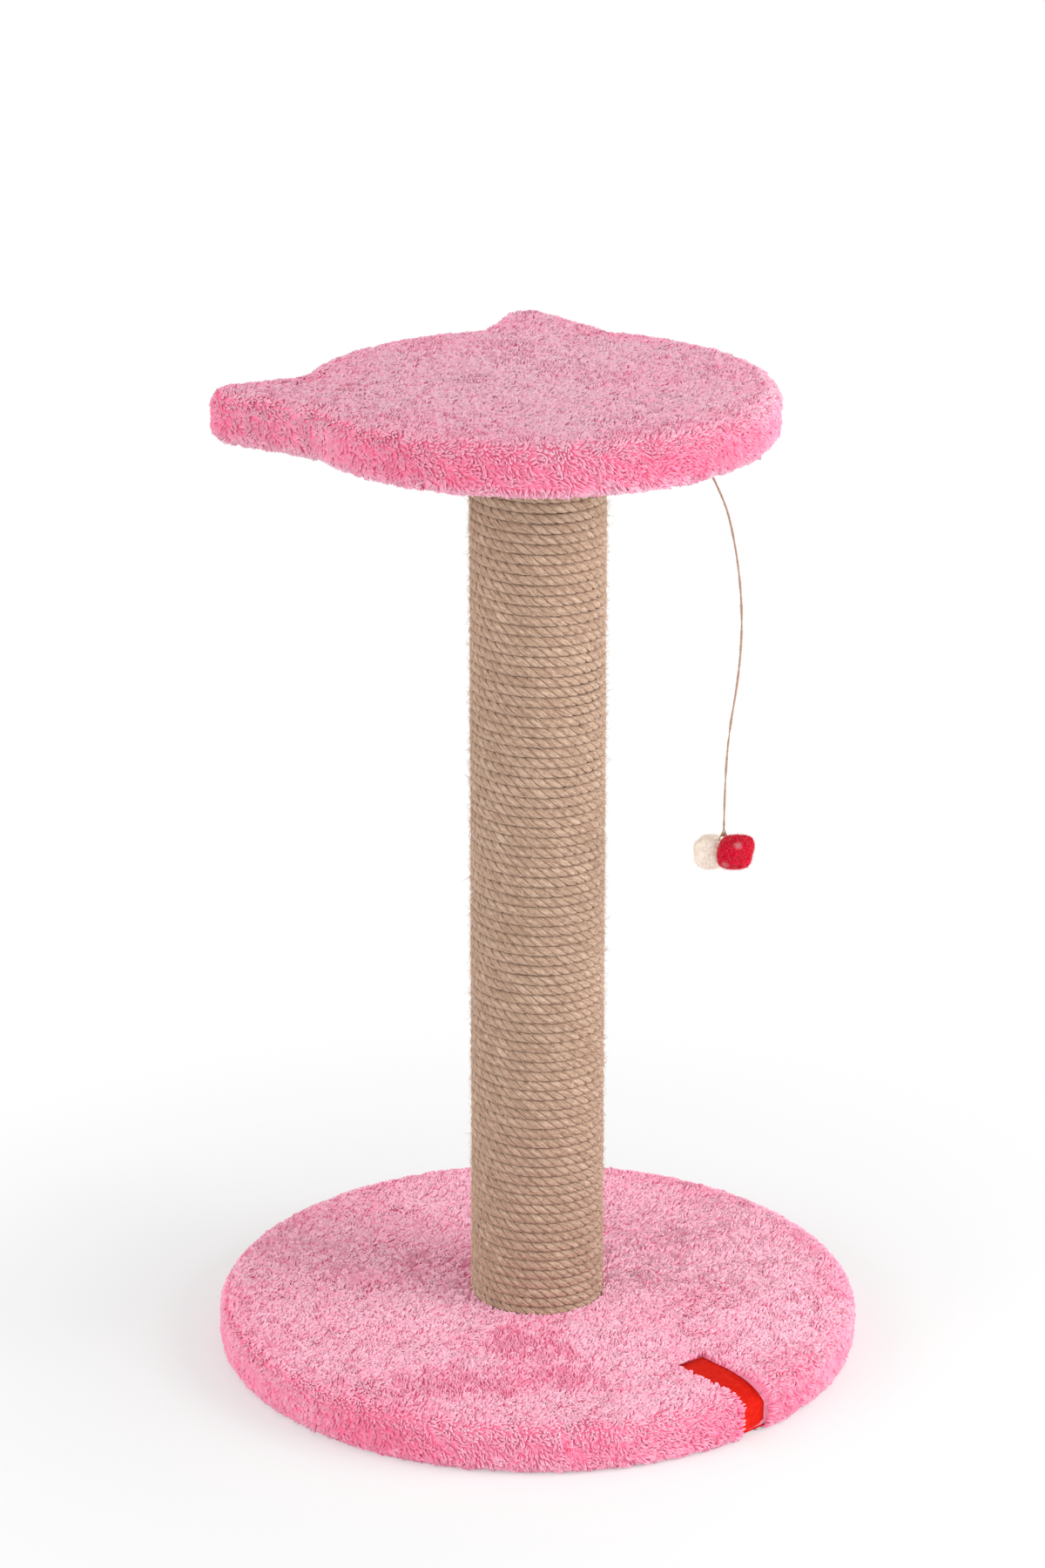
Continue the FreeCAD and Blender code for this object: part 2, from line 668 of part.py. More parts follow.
class Toy:
    """Where the toy hangs: its hook, the two links of twine under it, its knot and its balls."""

    def __init__(self):
        crown_level = post_head - size("liner_thickness") - size("hook_drop")
        self.hook = polar(size("head_radius") - size("toy_inset"), size("toy_angle"), crown_level)
        self.outwards = polar(1.0, size("toy_angle"), 0)
        self.along_crown = polar(1.0, size("toy_angle") + 90, 0)
        twine = size("twine_diameter")
        loop_top = size("hook_wire") / 2 + size("twine_gap") + twine / 2
        self.loop_centre = self.hook - UP * (size("loop_radius") - loop_top)
        loop_foot = self.loop_centre - UP * size("loop_radius")
        eye_top = loop_foot + UP * (twine + size("twine_gap"))
        self.eye_centre = eye_top - UP * size("eye_radius")
        self.eye_foot = self.eye_centre - UP * size("eye_radius")
        self.knot = self.hook + Vector(*KNOT_STEP)
        rise = math.radians(size("pair_rise"))
        to_red = polar(math.cos(rise), size("pair_angle"), math.sin(rise))
        half_line = to_red * ((size("ball_diameter") + size("ball_gap")) / 2)
        between_balls = self.knot - UP * size("ball_drop")
        self.cream = between_balls - half_line
        self.red = between_balls + half_line


def make_toy_hook(toy):
    """A round-wire staple in the board: its crown stands clear, so that twine can go round it."""
    bend_radius = size("hook_bend")
    half = toy.along_crown * ((size("hook_width") - size("hook_wire")) / 2)
    leg_top = UP * (post_head + size("hook_bite") - toy.hook.z)
    corners = [toy.hook - half, toy.hook + half]
    inwards = [toy.along_crown, toy.along_crown * -1]
    edges = []
    for corner, inward in zip(corners, inwards):
        upper = corner + UP * bend_radius
        lower = corner + inward * bend_radius
        edges.append(Part.LineSegment(corner + leg_top, upper).toShape())
        edges.append(bend(upper, corner, lower))
    crown = Part.LineSegment(corners[0] + inwards[0] * bend_radius, corners[1] + inwards[1] * bend_radius).toShape()
    path = Part.Wire(Part.__sortEdges__(edges + [crown]))
    shaped("toy_hook", pipe(path, size("hook_wire")))


def make_link(name, radius, centre, axis):
    """A ring of twine."""
    ring = doc.addObject("Part::Torus", name)
    ring.setExpression("Radius1", radius)
    ring.setExpression("Radius2", "sizes.twine_diameter / 2")
    ring.Placement = Placement(centre, Rotation(UP, axis))


def cord_path(points):
    """Straight runs joined by the largest tangent arcs that they leave room for."""
    edges = []
    radii = []
    start = points[0]
    for before, corner, after in zip(points, points[1:], points[2:]):
        into = corner - before
        out = after - corner
        setback = 0.45 * min(into.Length, out.Length)
        radii.append(setback / math.tan(into.getAngle(out) / 2))
        arc_start = corner - into.normalize() * setback
        arc_end = corner + out.normalize() * setback
        edges.append(Part.LineSegment(start, arc_start).toShape())
        edges.append(bend(arc_start, corner, arc_end))
        start = arc_end
    edges.append(Part.LineSegment(start, points[-1]).toShape())
    return Part.Wire(edges), radii


def make_toy_twine(toy):
    knot_top = toy.knot + UP * (size("knot_diameter") / 2 + size("knot_gap"))
    points = [toy.eye_foot]
    points += [toy.hook + Vector(*step) for step in TWINE_ROUTE]
    points.append(knot_top)
    path, radii = cord_path(points)
    print("twine: %.1f mm long, arc radii %s mm" % (path.Length, ", ".join("%.0f" % radius for radius in radii)))
    shaped("toy_twine", pipe(path, size("twine_diameter")))


def make_toy_balls(toy):
    """Two felt balls, and the knot with a short strand down into each of them."""
    ball_radius = size("ball_diameter") / 2
    knot = Part.makeSphere(size("knot_diameter") / 2, toy.knot)
    for name, centre in (("ball_cream", toy.cream), ("ball_red", toy.red)):
        ball = doc.addObject("Part::Sphere", name)
        ball.setExpression("Radius", "sizes.ball_diameter / 2")
        ball.Placement = Placement(centre, Rotation())
        reach = centre - toy.knot
        length = reach.Length - ball_radius + size("ball_strand_bite")
        knot = knot.fuse(Part.makeCylinder(size("twine_diameter") / 2, length, toy.knot, reach))
    shaped("toy_knot", knot.removeSplitter().Solids[0])


make_base_board()
make_base_cover_and_label()
make_base_liner()
make_hem_staples("base_staples", size("base_board_radius") - size("base_hem_width") / 2,
                 size("hem_staple_cover"), int(size("base_staple_count")))
make_post_tube()
make_plug_and_insert("foot", POST_FOOT, POST_FOOT)
make_plug_and_insert("head", POST_HEAD + " - sizes.plug_length", POST_HEAD + " - sizes.insert_length")
make_plug_screws()
make_base_bolt()
make_rope()
make_platform_board()
make_platform_cover()
make_platform_liner()
make_hem_staples("platform_staples", size("head_radius") - size("head_hem_width") / 2,
                 post_head - size("hem_thickness") + size("hem_staple_cover"), int(size("head_staple_count")))
make_tee_nut_and_stud()
toy = Toy()
make_toy_hook(toy)
make_link("toy_loop", "sizes.loop_radius", toy.loop_centre, toy.along_crown)
make_link("toy_eye", "sizes.eye_radius", toy.eye_centre, toy.outwards)
make_toy_twine(toy)
make_toy_balls(toy)
doc.recompute()

NODES = [
    "base_board", "base_cover", "base_liner", "base_staples", "label_ribbon", "base_bolt", "base_washer",
    "post_tube", "post_foot_plug", "post_head_plug", "post_foot_insert", "post_head_insert", "plug_screws",
    "rope_end_staples", "platform_board", "platform_cover", "platform_liner", "platform_staples",
    "platform_tee_nut", "platform_stud", "toy_hook", "toy_loop", "toy_eye", "toy_twine", "toy_knot",
    "ball_cream", "ball_red",
]
NODES += ["rope_winding_%d" % (number + 1) for number in range(int(size("rope_lengths")))]

for item in doc.Objects:
    if "Invalid" in item.State or "Error" in item.State:
        raise ValueError(item.Name + " did not compute")
for label in NODES:
    shape = doc.getObject(label).Shape
    if shape.isNull() or not shape.isValid():
        raise ValueError(label + " is not a valid solid")

os.makedirs("parts", exist_ok=True)
for label in NODES:
    doc.getObject(label).Shape.exportStep("parts/%s.step" % label)
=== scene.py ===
import json
import math
from typing import NamedTuple

import bmesh
import bpy
import numpy as np
from mathutils.kdtree import KDTree
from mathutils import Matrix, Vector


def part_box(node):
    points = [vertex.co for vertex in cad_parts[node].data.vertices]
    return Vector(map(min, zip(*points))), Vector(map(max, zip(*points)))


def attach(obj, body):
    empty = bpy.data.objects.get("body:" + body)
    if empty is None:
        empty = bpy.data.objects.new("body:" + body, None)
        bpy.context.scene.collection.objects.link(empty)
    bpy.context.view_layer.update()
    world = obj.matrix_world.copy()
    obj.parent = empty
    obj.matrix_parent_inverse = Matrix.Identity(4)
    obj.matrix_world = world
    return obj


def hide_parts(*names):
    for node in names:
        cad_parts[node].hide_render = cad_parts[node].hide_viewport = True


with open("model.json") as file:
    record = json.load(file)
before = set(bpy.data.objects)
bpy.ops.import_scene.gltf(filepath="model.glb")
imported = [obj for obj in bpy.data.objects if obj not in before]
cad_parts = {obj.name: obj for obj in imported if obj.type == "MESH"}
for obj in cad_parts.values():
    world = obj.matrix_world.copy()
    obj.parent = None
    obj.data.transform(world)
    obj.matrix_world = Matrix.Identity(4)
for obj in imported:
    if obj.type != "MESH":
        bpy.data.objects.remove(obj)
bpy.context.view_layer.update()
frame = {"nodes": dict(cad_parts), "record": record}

# A scratching post around its CAD frame: plush pile on the base and on the cat-head platform,
# twisted jute rope round the post, and a toy of two felt balls on a twine.
# Lengths are in millimetres, and become metres where a mesh is made.

MM = 0.001
UP = np.array((0.0, 0.0, 1.0))
WHITE = (1.0, 1.0, 1.0, 1.0)
scene = bpy.context.scene

# Covers
BASE_RADIUS = 179.5
BASE_TOP = 28.5
BASE_HEM_EDGE = 147.0
HEAD_BOTTOM = 528.0
HEAD_TOP = 556.5
HEAD_HEM_EDGE = 106.7
PLUSH_ROUND = 9.0
POST_OPENING = 38.2
FABRIC_DEPTH = 1.3
ROOT_DEPTH = 1.9
HEM_DEPTH = 1.6
LOCK_SPACING = 1.5
HEM_LOCK_SPACING = 2.2
LOCK_LENGTH = 3.4
HEM_LOCK_LENGTH = 3.2
HEM_TONE = 0.4
RIM_LOWEST = 0.3
HEM_LOWEST = 0.2
CLUMP_SHARE = 0.18
CLUMP_PULL = 0.16
PILE_FALL = 1.1
BASE_LIE = -40.0
HEAD_LIE = -27.0

# Pile brushed against its lie, its deeper tone painted shade: the middles of patches, half their widths and
# half their depths
BRUSHED_HEADING = -47.6
BRUSHED_PATCHES = (((-105, -62, 28), 62, 19), ((-66, -44, 28), 30, 20))

# Label ribbon
LABEL_ANGLE = -96.0
LABEL_WIDTH = 22.0
LABEL_RUN = 54.0
LABEL_DEPTH = 4.8
LABEL_START_DEPTH = 1.6
LABEL_BEND_DROP = 10.7
LABEL_THICKNESS = 0.8
LABEL_FOOT = 3.0
LABEL_SLOPE = 1.5

# Rope
ROPE_RADIUS = 34.625
ROPE_FIRST_LEVEL = 25.575
ROPE_PITCH = 502.85 / 88
ROPE_TURNS = 22
ROPE_WINDINGS = 4
ROPE_HALF_DEPTH = 2.62
ROPE_HALF_HEIGHT = 3.2
ROPE_LAY = 18.0
ROPE_RINGS = 4000
ROPE_SIDES = 8
STRANDS = 3
FIBRE_COUNT = 12500
FIBRE_SLANT = 0.72

# Toy
TOY_HOOK = np.array((32.226, -94.665, 526.6))
TOY_ANGLE = -71.2
TWINE_ROUTE = (
    (0.0, 0.0, -9.1),
    (3.8, -4.3, -20.6),
    (7.2, -8.0, -35.9),
    (10.6, -11.7, -64.8),
    (11.8, -13.0, -93.8),
    (10.5, -11.6, -123.1),
    (7.4, -8.2, -152.6),
    (6.2, -6.9, -182.4),
    (6.1, -6.8, -207.9),
)
TWINE_RADIUS = 0.6
TWINE_LAY = 5.2
KNOT_STEP = (6.1, -6.8, -210.8)
LOOP_RADIUS = 4.2
LOOP_DROP = 2.3
EYE_RADIUS = 2.4
EYE_DROP = 6.7
BALL_RADIUS = 10.0
BALL_LOWNESS = 0.93
BALL_FACING = -47.6
FUZZ_COUNT = 3600
LINT_WAYS = ((-0.485, -0.592, 0.643), (-0.879, -0.044, -0.474))


# Arrays and meshes

def unit(vectors):
    return vectors / np.linalg.norm(vectors, axis=-1, keepdims=True)


def column(numbers):
    return np.asarray(numbers)[:, None]


def level_way(degrees):
    """The level direction at a heading."""
    turn = math.radians(degrees)
    return np.array((math.cos(turn), math.sin(turn), 0.0))


def travel_along(points):
    """How far along a line each of its points lies."""
    steps = np.linalg.norm(np.diff(points, axis=0), axis=1)
    return np.concatenate(((0.0,), np.cumsum(steps)))


def read_along(places, travel, rows):
    """A line's rows of numbers, read at places along it."""
    return np.column_stack([np.interp(places, travel, numbers) for numbers in rows.T])


def nearest(targets, places):
    """The number of the target nearest to each place, and how far away it is."""
    tree = KDTree(len(targets))
    for number, target in enumerate(targets):
        tree.insert(target, number)
    tree.balance()
    found = [tree.find(place) for place in places]
    return np.array([number for _, number, _ in found]), np.array([away for _, _, away in found])


def node_middle(node):
    low, high = (np.array(corner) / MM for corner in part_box(node))
    return (low + high) / 2


class Waves:
    """A smooth random field: seeded sine waves of about one wavelength, with a spread of about 1."""

    COUNT = 12

    def __init__(self, seed, wavelength):
        rng = np.random.default_rng(seed)
        lengths = wavelength * rng.uniform(0.7, 1.4, self.COUNT)
        self.waves = unit(rng.normal(size=(self.COUNT, 3))) * column(2 * math.pi / lengths)
        self.phases = rng.uniform(0, 2 * math.pi, self.COUNT)

    def __call__(self, points):
        return np.sin(points @ self.waves.T + self.phases).sum(axis=1) / math.sqrt(self.COUNT / 2)


def grid_faces(rows, columns):
    """The corners of the quads of a grid of points, given row after row."""
    first = np.arange((rows - 1) * columns).reshape(rows - 1, columns)[:, :-1].ravel()
    return np.stack((first, first + 1, first + columns + 1, first + columns), axis=1)


def make_mesh(name, points, corners, counts, maps, smooth=True):
    """A mesh from its points, its faces' corners and the corners' UV maps."""
    mesh = bpy.data.meshes.new(name)
    mesh.vertices.add(len(points))
    mesh.vertices.foreach_set("co", (points * MM).astype(np.float32).ravel())
    mesh.loops.add(len(corners))
    mesh.loops.foreach_set("vertex_index", corners.astype(np.int32))
    mesh.polygons.add(len(counts))
    starts = np.cumsum(counts) - counts
    mesh.polygons.foreach_set("loop_start", starts.astype(np.int32))
    mesh.polygons.foreach_set("use_smooth", np.full(len(counts), smooth))
    for map_name, places in maps.items():
        layer = mesh.uv_layers.new(name=map_name)
        layer.uv.foreach_set("vector", places.astype(np.float32).ravel())
    mesh.update(calc_edges=True)
    mesh.validate()
    return mesh


def grid_mesh(name, points, maps):
    """A mesh of quads from points in rows and columns, with UV maps given for each point."""
    rows, columns = points.shape[:2]
    corners = grid_faces(rows, columns).ravel()
    corner_maps = {key: places.reshape(-1, 2)[corners] for key, places in maps.items()}
    counts = np.full(len(corners) // 4, 4)
    return make_mesh(name, points.reshape(-1, 3), corners, counts, corner_maps)


def add_piece(name, mesh, surface, body, slot, *nodes):
    mesh.materials.append(surface)
    piece = bpy.data.objects.new(name, mesh)
    scene.collection.objects.link(piece)
    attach(piece, body)
    if nodes:
        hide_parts(*nodes)
    return piece


# Materials

def colour(red, green, blue):
    """A display colour of 0 to 255 as the linear colour that a shader takes."""
    linear = []
    for level in (red, green, blue):
        share = level / 255
        linear.append(share / 12.92 if share <= 0.04045 else ((share + 0.055) / 1.055) ** 2.4)
    return (*linear, 1.0)


class Surface:
    """A Principled material, and short calls that add nodes to it."""

    def __init__(self, name, roughness, **constants):
        self.material = bpy.data.materials.new(name)
        self.material.use_nodes = True
        self.tree = self.material.node_tree
        self.shader = self.tree.nodes["Principled BSDF"]
        self.shader.inputs["Roughness"].default_value = roughness
        for socket, value in constants.items():
            self.shader.inputs[socket.replace("_", " ").title().replace("Ior", "IOR")].default_value = value

    def add(self, kind, inputs=None, **settings):
        node = self.tree.nodes.new("ShaderNode" + kind)
        for name, value in settings.items():
            setattr(node, name, value)
        for socket, value in (inputs or {}).items():
            if isinstance(value, bpy.types.NodeSocket):
                self.tree.links.new(value, node.inputs[socket])
            else:
                node.inputs[socket].default_value = value
        return node

    def math(self, operation, first, second=0.0):
        return self.add("Math", {0: first, 1: second}, operation=operation).outputs[0]

    def blend(self, first, first_share, second, second_share):
        return self.math("ADD", self.math("MULTIPLY", first, first_share),
                         self.math("MULTIPLY", second, second_share))

    def mix(self, share, first, second):
        return self.add("Mix", {0: share, 6: first, 7: second}, data_type="RGBA").outputs[2]

    def ramp(self, place, *stops):
        """Display colours at places from 0 to 1."""
        stops = [(position, colour(*shade)) for position, shade in stops]
        node = self.add("ValToRGB", {"Fac": place})
        elements = node.color_ramp.elements
        elements[0].position, elements[0].color = stops[0]
        elements[1].position, elements[1].color = stops[-1]
        for position, shade in stops[1:-1]:
            elements.new(position).color = shade
        return node.outputs["Color"]

    def map(self, name):
        """A UV map's vector and its two separate coordinates."""
        vector = self.add("UVMap", uv_map=name).outputs["UV"]
        parts = self.add("SeparateXYZ", {"Vector": vector})
        return vector, parts.outputs["X"], parts.outputs["Y"]

    def stretched(self, vector, scale):
        return self.add("Mapping", {"Vector": vector, "Scale": scale}).outputs["Vector"]

    def space(self, scale=(1, 1, 1)):
        return self.stretched(self.add("TexCoord").outputs["Object"], scale)

    def noise(self, vector, scale, detail=2.0, roughness=0.5):
        inputs = {"Vector": vector, "Scale": scale, "Detail": detail, "Roughness": roughness}
        return self.add("TexNoise", inputs).outputs["Fac"]

    def finish(self, shade, height=None, strength=0.3, distance=0.0003):
        self.tree.links.new(shade, self.shader.inputs["Base Color"])
        if height is not None:
            bump = self.add("Bump", {"Height": height, "Strength": strength, "Distance": distance})
            self.tree.links.new(bump.outputs["Normal"], self.shader.inputs["Normal"])
        return self.material


def pile_surface(name, root_shades, tip_shades, **constants):
    """Locks of pile: across their map goes the tone, and up it the way from root to tip."""
    surface = Surface(name, 0.9, **constants)
    _, tone, way = surface.map("OFBake")
    roots = surface.ramp(tone, *zip((0.0, 1.0), root_shades))
    tips = surface.ramp(tone, *zip((0.0, 1.0), tip_shades))
    # Deeper colour at the roots and paler at the tips: painted shade down among the locks and painted sheen
    # on the tips.
    rise = surface.math("POWER", way, 1.3)
    return surface.finish(surface.mix(rise, roots, tips))


def plush_surface(name, rim, top):
    """Plush between the root and tip colours of its rim and those of its top: painted shade on the rim and
    painted light on the top.
    """
    return pile_surface(name, (rim[0], top[0]), (rim[1], top[1]), sheen_weight=0.15, sheen_roughness=0.45,
                        sheen_tint=(1.0, 0.62, 0.76, 1.0), specular_ior_level=0.1)


def jute_surface(name, streak, slant, pale, middle, dark, groove):
    """Twisted jute: fibres run along the strands, and the grooves between strands are darker, which is
    painted shade.
    """
    surface = Surface(name, 0.86, sheen_weight=0.15, sheen_roughness=0.5, specular_ior_level=0.25)
    _, along, around = surface.map("lay")
    strand = surface.math("MULTIPLY", around, float(STRANDS))
    slanted = surface.math("ADD", around, surface.math("MULTIPLY", along, slant))
    own = surface.math("MULTIPLY", surface.math("FLOOR", strand), 7.3)
    vector = surface.add("CombineXYZ", {"X": along, "Y": slanted, "Z": own}).outputs["Vector"]
    flecks = surface.noise(surface.stretched(vector, (streak, 30.0, 1.0)), 1.0, 3.0, 0.6)
    fibres = surface.noise(surface.stretched(vector, (streak * 1.7, 95.0, 1.0)), 1.0, 3.0, 0.65)
    patches = surface.noise(surface.stretched(vector, (streak / 9, 1.6, 1.0)), 1.0, 2.0)
    grain = surface.blend(flecks, 0.6, fibres, 0.4)
    blend = surface.blend(grain, 0.86, patches, 0.14)
    shade = surface.ramp(blend, (0.36, dark), (0.5, middle), (0.63, pale))
    # Painted shade: the groove colour darkens the lines between strands, more in some patches.
    edge = surface.math("ABSOLUTE", surface.math("SUBTRACT", surface.math("FRACT", strand), 0.5))
    line = surface.math("POWER", surface.math("MULTIPLY", edge, 2.0), 11.0)
    deep = surface.math("MULTIPLY", line, surface.math("MULTIPLY", patches, 1.5))
    return surface.finish(surface.mix(deep, shade, colour(*groove)), grain, 0.8, 0.0007)


def felt_surface(name, dark, middle, pale, spots=(), spot_shade=None):
    """Rolled felt, with small round spots of lint where they are given, in metres."""
    surface = Surface(name, 0.95, specular_ior_level=0.05)
    place = surface.space()
    mottle = surface.noise(place, 420.0, 4.0, 0.6)
    fibres = surface.noise(place, 1500.0, 4.0, 0.7)
    blend = surface.blend(mottle, 0.35, fibres, 0.65)
    shade = surface.ramp(blend, (0.38, dark), (0.5, middle), (0.63, pale))
    for spot in spots:
        away = surface.add("VectorMath", {0: place, 1: spot}, operation="DISTANCE").outputs["Value"]
        ragged = surface.math("ADD", away, surface.math("MULTIPLY", mottle, 0.003))
        share = surface.add("MapRange", {0: ragged, 1: 0.0026, 2: 0.0044, 3: 0.6, 4: 0.0}).outputs[0]
        shade = surface.mix(share, shade, colour(*spot_shade))
    return surface.finish(shade, fibres, 0.5, 0.0004)


def ribbon_surface():
    """Plain woven ribbon: fine ribs across it and a firmer woven edge."""
    surface = Surface("red_ribbon", 0.7, specular_ior_level=0.1)
    vector, along, across = surface.map("weave")
    rib = surface.math("SINE", surface.math("MULTIPLY", along, 2 * math.pi * 2.4))
    warp = surface.math("SINE", surface.math("MULTIPLY", across, 2 * math.pi * 3.1))
    weave = surface.math("MULTIPLY", surface.math("ADD", rib, warp), 0.5)
    wear = surface.noise(vector, 0.35, 3.0)
    lifted = surface.math("ADD", surface.math("MULTIPLY", weave, 0.14), wear)
    shade = surface.ramp(lifted, (0.25, (202, 20, 8)), (0.5, (220, 27, 10)), (0.8, (228, 42, 18)))
    return surface.finish(shade, weave, 0.35, 0.0002)


def cloth_surface():
    """Nonwoven cloth with small pressed points."""
    surface = Surface("liner_cloth", 0.9, sheen_weight=0.2, specular_ior_level=0.2)
    place = surface.space()
    fibres = surface.noise(place, 900.0, 4.0, 0.7)
    points = surface.add("TexVoronoi", {"Vector": place, "Scale": 380.0}).outputs["Distance"]
    blend = surface.blend(fibres, 0.7, points, 0.5)
    shade = surface.ramp(blend, (0.3, (196, 192, 188)), (0.75, (226, 223, 219)))
    return surface.finish(shade, blend, 0.5, 0.0003)


def board_surface(name, scale, dark, pale):
    surface = Surface(name, 0.85, specular_ior_level=0.2)
    grain = surface.noise(surface.space(scale), 1.0, 5.0, 0.6)
    speck = surface.noise(surface.space(), 700.0, 2.0)
    blend = surface.blend(grain, 0.7, speck, 0.3)
    return surface.finish(surface.ramp(blend, (0.3, dark), (0.7, pale)), speck, 0.3, 0.0002)


def lint_place(way):
    return (node_middle("ball_red") + unit(np.array(way)) * BALL_RADIUS) * MM


def steel_surface():
    surface = Surface("zinc_steel", 0.35, metallic=1.0)
    spangle = surface.noise(surface.space(), 900.0, 3.0)
    return surface.finish(surface.ramp(spangle, (0.3, (176, 178, 184)), (0.7, (214, 215, 218))))


# Shaded and lit copies of one pink plush, as root and tip colours. The deeper rim pink is painted shade. The
# paler tops are painted light, paler on the base's top than on the platform's.
RIM_SHADE_PINK = ((254, 122, 165), (246, 168, 196))
BASE_TOP_LIGHT_PINK = ((255, 172, 200), (247, 211, 224))
HEAD_TOP_LIGHT_PINK = ((252, 166, 194), (230, 202, 213))
base_surface = plush_surface("base_plush_painted_light", RIM_SHADE_PINK, BASE_TOP_LIGHT_PINK)
platform_surface = plush_surface("platform_plush_painted_light", RIM_SHADE_PINK, HEAD_TOP_LIGHT_PINK)
# The last colour of each jute is the painted shade in its grooves.
rope_surface = jute_surface("jute_rope", 36.0, 2.2, (231, 204, 181), (189, 157, 134), (135, 103, 82),
                            (84, 60, 46))
twine_surface = jute_surface("jute_twine", 90.0, 0.0, (228, 192, 166), (202, 160, 134), (160, 122, 98),
                             (118, 86, 68))
fibre_surface = pile_surface("jute_fibres", ((170, 136, 108), (214, 184, 156)),
                             ((190, 158, 130), (240, 218, 194)), specular_ior_level=0.2)
cream_surface = felt_surface("cream_felt", (238, 228, 213), (245, 236, 223), (250, 243, 233))
red_surface = felt_surface("red_felt", (160, 1, 28), (197, 4, 42), (222, 34, 68),
                           [lint_place(way) for way in LINT_WAYS], (198, 150, 156))
cream_fuzz = pile_surface("cream_fuzz", ((226, 206, 188), (238, 222, 206)),
                          ((240, 226, 212), (250, 242, 234)), specular_ior_level=0.1)
red_fuzz = pile_surface("red_fuzz", ((176, 10, 32), (206, 24, 48)), ((230, 46, 66), (250, 150, 152)),
                        specular_ior_level=0.1)
label_surface = ribbon_surface()
liner_surface = cloth_surface()
cad_surfaces = {
    "fibreboard": board_surface("fibreboard", (60, 60, 240), (150, 116, 80), (196, 160, 118)),
    "tube_board": board_surface("tube_board", (30, 30, 260), (150, 122, 92), (186, 158, 126)),
    "plug_wood": board_surface("plug_wood", (160, 160, 12), (196, 152, 102), (226, 190, 140)),
    "steel": steel_surface(),
}


# Camera

def make_camera():
    lens = bpy.data.cameras.new("photo_view")
    lens.sensor_width = 36.0
    lens.lens = 110.78
    camera = bpy.data.objects.new("photo_view", lens)
    camera.location = (-1.847, -1.6864, 1.195)
    camera.rotation_euler = (math.radians(90 - 19.06), 0.0, math.radians(-47.6 + 0.19))
    scene.collection.objects.link(camera)
    scene.camera = camera


# Twisted twine and rope

def follow_frames(points):
    """Two steady directions square to a line of points, carried along it."""
    headings = unit(np.gradient(points, axis=0))
    across = np.cross(headings[0], (0.31, 0.95, 0.05))
    rows = []
    for heading in headings:
        across = across - heading * across.dot(heading)
        across = across / np.linalg.norm(across)
        rows.append(across)
    across = np.array(rows)
    return across, np.cross(headings, across)


def twisted_tube(name, centres, across, upward, half_sizes, lay, groove, side_count, room=None, flatness=2.0):
    """Strands laid round a line: the points' columns follow the strands, and so does the map.

    Where its neighbours leave it only some room below and above, the tube is pressed flat there.
    """
    columns = STRANDS * side_count
    travel = travel_along(centres)
    number = np.arange(columns + 1)
    angle = column(2 * math.pi / lay * travel) + 2 * math.pi * number / columns
    from_crown = np.abs(number % side_count - side_count / 2) / (side_count / 2)
    bulge = 1 - groove * from_crown ** 3.5
    half_across, half_upward = half_sizes
    full = (np.abs(np.cos(angle)) ** flatness + np.abs(np.sin(angle)) ** flatness) ** (-1 / flatness)
    sideways = column(half_across) * np.cos(angle) * bulge * full
    lift = column(half_upward) * np.sin(angle) * bulge * full
    if room:
        lift = np.clip(lift, -column(room[0]), column(room[1]))
    points = centres[:, None] + across[:, None] * sideways[..., None] + upward[:, None] * lift[..., None]
    rows = np.broadcast_to(column(travel), angle.shape)
    turns = np.broadcast_to(number / columns, angle.shape)
    lay_map = np.stack((rows / 100, turns), axis=-1)
    bake_map = np.stack((rows / travel[-1], turns), axis=-1)
    return grid_mesh(name, points, {"OFBake": bake_map, "lay": lay_map})


def twine_piece(name, centres, radius, body, node, seed):
    across, upward = follow_frames(centres)
    uneven = radius * (1 + 0.13 * Waves(seed, 9.0)(centres) + 0.08 * Waves(seed + 1, 2.5)(centres))
    mesh = twisted_tube(name, centres, across, upward, (uneven, uneven), TWINE_LAY, 0.3, 4)
    nodes = (node,) if node else ()
    return add_piece(name, mesh, twine_surface, body, "jute_twine", *nodes)


def twine_line():
    """Points along the twine: the route's smooth spline, in millimetres."""
    curve = bpy.data.curves.new("twine_route", "CURVE")
    curve.dimensions = "3D"
    curve.resolution_u = 48
    spline = curve.splines.new("NURBS")
    spline.points.add(len(TWINE_ROUTE) - 1)
    for point, step in zip(spline.points, TWINE_ROUTE):
        point.co = (*((TOY_HOOK + step) * MM), 1.0)
    spline.order_u = 3
    spline.use_endpoint_u = True
    guide = bpy.data.objects.new("twine_route", curve)
    line = bpy.data.meshes.new_from_object(guide)
    points = np.array([vertex.co for vertex in line.vertices]) / MM
    bpy.data.objects.remove(guide)
    bpy.data.curves.remove(curve)
    bpy.data.meshes.remove(line)
    return points


def ring_line(centre, first, second, radius):
    angle = np.linspace(0, 2 * math.pi, 73)
    return centre + radius * (column(np.cos(angle)) * first + column(np.sin(angle)) * second)


# Locks of pile and loose fibres

LOCK_CORNERS = []
for ring in (0, 3):
    for side in range(3):
        beside = (side + 1) % 3
        LOCK_CORNERS += [ring + side, ring + beside, ring + 3 + beside, ring + 3 + side]
for side in range(3):
    LOCK_CORNERS += [6 + side, 6 + (side + 1) % 3, 9]
LOCK_CORNERS = np.array(LOCK_CORNERS)
LOCK_COUNTS = np.array([4] * 6 + [3] * 3)
LOCK_STEPS = (0.4, 0.36, 0.24)
LOCK_TAPER = (0.85, 1.0, 0.85)
LOCK_WAY = np.repeat((0.03, 0.45, 0.8, 0.97), (3, 3, 3, 1))
LOCK_TONE = np.array((-0.02, 0.0, 0.02) * 3 + (0.0,))


